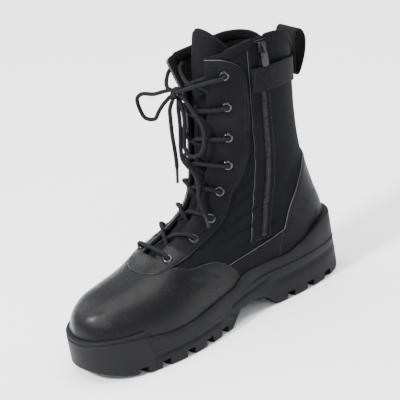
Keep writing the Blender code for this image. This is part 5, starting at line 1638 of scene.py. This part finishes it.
def build_counter():
    """Leather round the heel, in one piece."""
    front = side_line(COUNTER_FRONT)
    top = up_to_back(smooth_line(scaled(COUNTER_TOP)))
    rim = rim_places(*COUNTER_RIM)
    level = float(rim_height(COUNTER_BACK)) - CUP_OVERLAP
    back = float(row_at_height(np.array([1.0]), level)[0])
    rim = np.vstack([[(back, 1.0)], rim])
    sewn = [(line, True, DOUBLE_ROW) for line in (front, top, round_back(top), round_back(front))]
    parts = [*sewn, (round_back(rim), False, ()), (rim, False, ())]
    sew("heel_stitches", leather_layer("heel_leather", "heel_counter", parts, LEATHER, "matt"))


def shader(name, colour, roughness, **fixed):
    """A new material with its tree, its Principled shader and Object coordinates."""
    material = bpy.data.materials.new(name)
    material.use_nodes = True
    tree = material.node_tree
    surface_node = tree.nodes["Principled BSDF"]
    surface_node.inputs["Base Color"].default_value = (*colour, 1.0)
    surface_node.inputs["Roughness"].default_value = roughness
    for key, value in fixed.items():
        surface_node.inputs[key.replace("_", " ")].default_value = value
    place = tree.nodes.new("ShaderNodeTexCoord")
    MATERIALS[name] = material
    return tree, surface_node, place


def noise(tree, place, scale, detail=4.0):
    node = tree.nodes.new("ShaderNodeTexNoise")
    node.inputs["Scale"].default_value = scale
    node.inputs["Detail"].default_value = detail
    tree.links.new(place.outputs["Object"], node.inputs["Vector"])
    return node.outputs[0]


def spread(tree, value, low, high, to_low, to_high):
    node = tree.nodes.new("ShaderNodeMapRange")
    for index, number in enumerate((low, high, to_low, to_high)):
        node.inputs[index + 1].default_value = number
    tree.links.new(value, node.inputs[0])
    return node.outputs[0]


def tones(tree, value, *stops):
    """Colours along a value, each stop a place and a colour."""
    ramp = tree.nodes.new("ShaderNodeValToRGB")
    elements = ramp.color_ramp.elements
    for index, (place, colour) in enumerate(stops):
        element = elements[index] if index < 2 else elements.new(place)
        element.position, element.color = place, (*colour, 1.0)
    tree.links.new(value, ramp.inputs[0])
    return ramp.outputs[0]


def maths(tree, operation, *values):
    node = tree.nodes.new("ShaderNodeMath")
    node.operation = operation
    for index, value in enumerate(values):
        if isinstance(value, (int, float)):
            node.inputs[index].default_value = value
        else:
            tree.links.new(value, node.inputs[index])
    return node.outputs[0]


def bump(tree, surface_node, heights, distance, strength=1.0, under=None):
    node = tree.nodes.new("ShaderNodeBump")
    node.inputs["Distance"].default_value = distance
    node.inputs["Strength"].default_value = strength
    tree.links.new(heights, node.inputs["Height"])
    if under:
        tree.links.new(under, node.inputs["Normal"])
    tree.links.new(node.outputs[0], surface_node.inputs["Normal"])
    return node.outputs[0]


def feed(tree, top, **values):
    """Links values to sockets of a shader."""
    for key, value in values.items():
        tree.links.new(value, top.inputs[key.replace("_", " ")])


def darker(colour, share):
    return tuple(channel * share for channel in colour)


def leather(name, colour, roughness, grain, depth, coat, shine=0.14):
    """Leather with a pebbled grain, faint clouding and duller scuffed patches."""
    fixed = {"Coat_Weight": coat, "Coat_Roughness": 0.20, "Specular_IOR_Level": shine}
    tree, top, place = shader(name, colour, roughness, **fixed)
    clouds = noise(tree, place, 28.0, 5.0)
    colours = tones(tree, clouds, (0.30, darker(colour, 0.75)), (0.55, colour), (0.78, darker(colour, 1.7)))
    feed(tree, top, Base_Color=colours)
    scuffs = spread(tree, noise(tree, place, 70.0, 8.0), 0.55, 0.75, roughness, min(1.0, roughness + 0.22))
    feed(tree, top, Roughness=scuffs)
    cells = tree.nodes.new("ShaderNodeTexVoronoi")
    cells.inputs["Scale"].default_value = grain
    cells.feature = "DISTANCE_TO_EDGE"
    tree.links.new(place.outputs["Object"], cells.inputs["Vector"])
    pebbles = spread(tree, cells.outputs["Distance"], 0.0, 0.22, 0.0, 1.0)
    mixed = maths(tree, "ADD", pebbles, maths(tree, "MULTIPLY", noise(tree, place, grain * 2.2, 3.0), 0.5))
    soft = bump(tree, top, noise(tree, place, 60.0, 2.0), 0.0005, 0.2)
    bump(tree, top, mixed, depth, 1.0, soft)


def woven(name, colour, roughness, across, along, depth, slant=0.0, light=1.7):
    """Cloth woven on its own UV map, which is in metres: threads across and along, over and under each
    other."""
    tree, top, place = shader(name, colour, roughness, Specular_IOR_Level=0.08)
    turn = tree.nodes.new("ShaderNodeMapping")
    turn.inputs["Rotation"].default_value = (0.0, 0.0, slant)
    tree.links.new(place.outputs["UV"], turn.inputs["Vector"])
    split = tree.nodes.new("ShaderNodeSeparateXYZ")
    tree.links.new(turn.outputs[0], split.inputs[0])
    warp = maths(tree, "SINE", maths(tree, "MULTIPLY", split.outputs[0], 2 * math.pi / across))
    weft = maths(tree, "SINE", maths(tree, "MULTIPLY", split.outputs[1], 2 * math.pi / along))
    threads = spread(tree, maths(tree, "MULTIPLY", warp, weft), -1.0, 1.0, 0.0, 1.0)
    fuzz = noise(tree, place, 900.0, 3.0)
    patches = noise(tree, place, 35.0, 5.0)
    mixed = maths(tree, "ADD", maths(tree, "MULTIPLY", threads, 0.55), maths(tree, "MULTIPLY", patches, 0.45))
    colours = tones(tree, mixed, (0.22, darker(colour, 0.55)), (0.5, colour), (0.80, darker(colour, light)))
    feed(tree, top, Base_Color=colours)
    bump(tree, top, maths(tree, "ADD", threads, maths(tree, "MULTIPLY", fuzz, 0.35)), depth)


def rubber(name, colour, roughness):
    """Moulded rubber with a fine matt grain, slightly chalky in places."""
    tree, top, place = shader(name, colour, roughness, Specular_IOR_Level=0.13)
    chalk = noise(tree, place, 55.0, 8.0)
    colours = tones(tree, chalk, (0.35, darker(colour, 0.8)), (0.58, colour), (0.74, darker(colour, 1.8)))
    feed(tree, top, Base_Color=colours)
    feed(tree, top, Roughness=spread(tree, chalk, 0.4, 0.75, roughness, roughness + 0.16))
    grain = bump(tree, top, noise(tree, place, 1400.0, 2.0), 0.00012, 0.7)
    bump(tree, top, noise(tree, place, 190.0, 4.0), 0.0003, 0.35, grain)


def metal(name, colour, roughness):
    """Blackened metal, brighter where it is rubbed."""
    tree, top, place = shader(name, colour, roughness, Metallic=1.0)
    rubbed = noise(tree, place, 420.0, 6.0)
    colours = tones(tree, rubbed, (0.35, darker(colour, 0.6)), (0.60, colour), (0.80, darker(colour, 2.1)))
    feed(tree, top, Base_Color=colours)
    worn = spread(tree, rubbed, 0.3, 0.8, roughness - 0.06, roughness + 0.14)
    feed(tree, top, Roughness=worn)
    bump(tree, top, noise(tree, place, 1100.0, 2.0), 0.00006, 0.5)


def size(label, text, usual, least):
    return FloatProperty(name=label, description=text, default=usual, min=least, unit="LENGTH")


def colour_of(label, text, usual):
    return FloatVectorProperty(name=label, description=text, default=usual, subtype="COLOR")


class BootLooks(bpy.types.PropertyGroup):
    crease_depth: FloatProperty(name="Fold depth", description="How deep the soft folds are, as a multiple",
                                default=1.4, min=0.0, max=2.0)
    stitch_pitch: size("Stitch pitch", "Distance from one stitch to the next", 0.0029, 0.0015)
    stitch_length: size("Stitch length", "Length of thread that shows in a stitch", 0.0021, 0.001)
    thread_width: size("Thread", "Thickness of the sewing thread", 0.00062, 0.0002)
    lace_diameter: size("Lace", "Thickness of the lace", LACE_DIAMETER, 0.002)
    tip_length: size("Lace tip", "Length of the hard tips of the lace", 0.014, 0.0)
    leather_colour: colour_of("Leather", "Colour of the polished leather", (0.0030, 0.0030, 0.0034))
    matt_colour: colour_of("Matt leather", "Colour of the facings, sides and heel", (0.0040, 0.0040, 0.0046))
    canvas_colour: colour_of("Canvas", "Colour of the shaft's canvas", (0.0038, 0.0039, 0.0048))
    rubber_colour: colour_of("Rubber", "Colour of the sole", (0.0066, 0.0066, 0.0074))


class BOOT_OT_materials(bpy.types.Operator):
    """Make the leathers, cloths, rubber and metals"""

    bl_idname = "boot.materials"
    bl_label = "Materials"

    def execute(self, context):
        looks = context.scene.boot_looks
        leather("polished", tuple(looks.leather_colour), 0.26, 1500.0, 0.00005, 0.03, 0.14)
        leather("matt", tuple(looks.matt_colour), 0.42, 1100.0, 0.00010, 0.0, 0.06)
        # A lighter grey on the layers' edges, painted in as a highlight along them.
        leather("cut_edge", (0.034, 0.034, 0.036), 0.42, 900.0, 0.0001, 0.0, 0.5)
        woven("canvas", tuple(looks.canvas_colour), 0.78, 0.0012, 0.0012, 0.00022, 0.35)
        woven("lining", (0.006, 0.006, 0.0066), 0.95, 0.0022, 0.0022, 0.0003, 0.78)
        woven("tongue_cloth", (0.0042, 0.0042, 0.0050), 0.85, 0.0014, 0.0014, 0.00025, 0.78)
        woven("binding", (0.0044, 0.0044, 0.0052), 0.82, 0.0013, 0.0013, 0.00022)
        woven("webbing", (0.0055, 0.0055, 0.0063), 0.72, 0.0022, 0.0013, 0.00035)
        woven("tape", (0.0042, 0.0042, 0.0048), 0.80, 0.0009, 0.0018, 0.0002)
        woven("lace", (0.0075, 0.0075, 0.0085), 0.70, 0.0020, 0.0020, 0.0004, 0.78, 2.2)
        leather("thread", (0.009, 0.009, 0.010), 0.60, 2500.0, 0.00004, 0.0)
        rubber("rubber", tuple(looks.rubber_colour), 0.52)
        rubber("lace_tip", (0.012, 0.012, 0.013), 0.30)
        metal("metal", (0.060, 0.060, 0.066), 0.15)
        metal("zip_metal", (0.038, 0.038, 0.042), 0.30)
        insole = bpy.data.objects["insole"]
        insole.data.materials.clear()
        insole.data.materials.append(MATERIALS["lining"])
        return {"FINISHED"}


class BOOT_OT_stage(bpy.types.Operator):
    """Set up the floor, the studio light and the camera"""

    bl_idname = "boot.stage"
    bl_label = "Floor, light and camera"

    def execute(self, context):
        set_camera(context)
        set_studio(context)
        return {"FINISHED"}


def set_camera(context):
    """The photograph's view of the shoe, a little closer and with the shoe in the middle."""
    side, rise, roll = (math.radians(angle) for angle in (VIEW_SIDE, VIEW_HEIGHT, VIEW_ROLL))
    back = Vector((math.sin(side) * math.cos(rise), -math.cos(side) * math.cos(rise), math.sin(rise)))
    right = Vector((math.cos(side), math.sin(side), 0.0))
    up = back.cross(right)
    right, up = (right * math.cos(roll) + up * math.sin(roll), up * math.cos(roll) - right * math.sin(roll))
    eye = Vector(VIEW_TARGET) + back * VIEW_DISTANCE
    forward = -back * VIEW_FOCAL + right * (VIEW_MIDDLE[0] - 200) + up * (200 - VIEW_MIDDLE[1])
    back = -forward.normalized()
    right = (right - back * right.dot(back)).normalized()
    up = back.cross(right)
    data = bpy.data.cameras.new("view")
    camera = bpy.data.objects.new("view", data)
    context.scene.collection.objects.link(camera)
    camera.matrix_world = Matrix.Translation(eye) @ Matrix((right, up, back)).transposed().to_4x4()
    data.sensor_width = 36.0
    data.lens = VIEW_FOCAL * 36.0 / 400.0 * VIEW_CLOSER
    data.clip_start = 0.05
    context.scene.camera = camera


def set_studio(context):
    """A pale floor that runs on to a pale sky, and large soft lamps."""
    mesh = bmesh.new()
    bmesh.ops.create_grid(mesh, x_segments=2, y_segments=2, size=6.0)
    tree, top, place = shader("floor", (0.90, 0.90, 0.91), 0.80)
    clouds = tones(tree, noise(tree, place, 3.0), (0.3, (0.89, 0.89, 0.90)), (0.7, (0.92, 0.92, 0.93)))
    feed(tree, top, Base_Color=clouds)
    floor = new_piece("floor", mesh, "floor")
    world = bpy.data.worlds.new("studio")
    world.use_nodes = True
    world.node_tree.nodes["Background"].inputs[0].default_value = (0.95, 0.97, 1.0, 1.0)
    world.node_tree.nodes["Background"].inputs[1].default_value = 1.0
    context.scene.world = world
    middle = Vector((0.0, -0.05, 0.12))
    for name, place, size, power in (
        ("front", (0.20, -2.3, 2.2), 0.42, 190.0),
        ("inner", (2.4, -0.6, 1.7), 1.0, 13.0),
        ("outer", (-2.2, -0.7, 1.6), 1.2, 26.0),
        ("above", (0.0, 0.2, 3.2), 2.6, 170.0),
        ("behind", (0.4, 2.4, 1.5), 1.2, 26.0),
    ):
        data = bpy.data.lights.new(name, "AREA")
        data.size, data.energy = size, power
        lamp = bpy.data.objects.new(name, data)
        context.scene.collection.objects.link(lamp)
        lamp.location = place
        lamp.rotation_euler = (Vector(place) - middle).to_track_quat("Z", "Y").to_euler()


def operator(idname, label, build):
    """An operator that makes one piece or one group of like pieces, told by its function's own words."""

    def execute(self, context):
        build()
        return {"FINISHED"}

    text = build.__doc__.rstrip(".")
    fields = {"__doc__": text, "bl_idname": "boot." + idname, "bl_label": label, "execute": execute}
    return type("BOOT_OT_" + idname, (bpy.types.Operator,), fields)


OPERATORS = [
    BOOT_OT_materials,
    BOOT_OT_stage,
    operator("bow", "Bow and loose ends", build_bow),
    operator("lacing", "Lacing", build_lacing),
    operator("sole", "Sole", build_sole),
    operator("upper", "Canvas upper", build_upper),
    operator("collar", "Collar edging", build_binding),
    operator("tongue", "Tongue", build_tongue),
    operator("vamp", "Vamp", build_vamp),
    operator("flap", "Throat flap", build_flap),
    operator("facings", "Facings", build_facings),
    operator("sides", "Side leathers", build_sides),
    operator("counter", "Heel counter", build_counter),
    operator("eyelets", "Eyelets", build_eyelets),
    operator("zip", "Zip", build_zip),
    operator("strap", "Ankle strap", build_strap),
    operator("loop", "Pull loop", build_pull_loop),
]


class BOOT_PT_looks(bpy.types.Panel):
    """Lists the boot's sizes, colours and pieces"""

    bl_idname = "BOOT_PT_looks"
    bl_label = "Combat boot"
    bl_space_type = "VIEW_3D"
    bl_region_type = "UI"
    bl_category = "Boot"

    def draw(self, context):
        looks = context.scene.boot_looks
        for key in BootLooks.__annotations__:
            self.layout.prop(looks, key)
        for made in OPERATORS:
            self.layout.operator(made.bl_idname)


def register():
    for kind in (BootLooks, *OPERATORS, BOOT_PT_looks):
        bpy.utils.register_class(kind)
    bpy.types.Scene.boot_looks = PointerProperty(type=BootLooks)


def unregister():
    del bpy.types.Scene.boot_looks
    for kind in reversed((BootLooks, *OPERATORS, BOOT_PT_looks)):
        bpy.utils.unregister_class(kind)


def main():
    register()
    for made in OPERATORS:
        group, name = made.bl_idname.split(".")
        getattr(getattr(bpy.ops, group), name)()


if __name__ == "__main__":
    main()
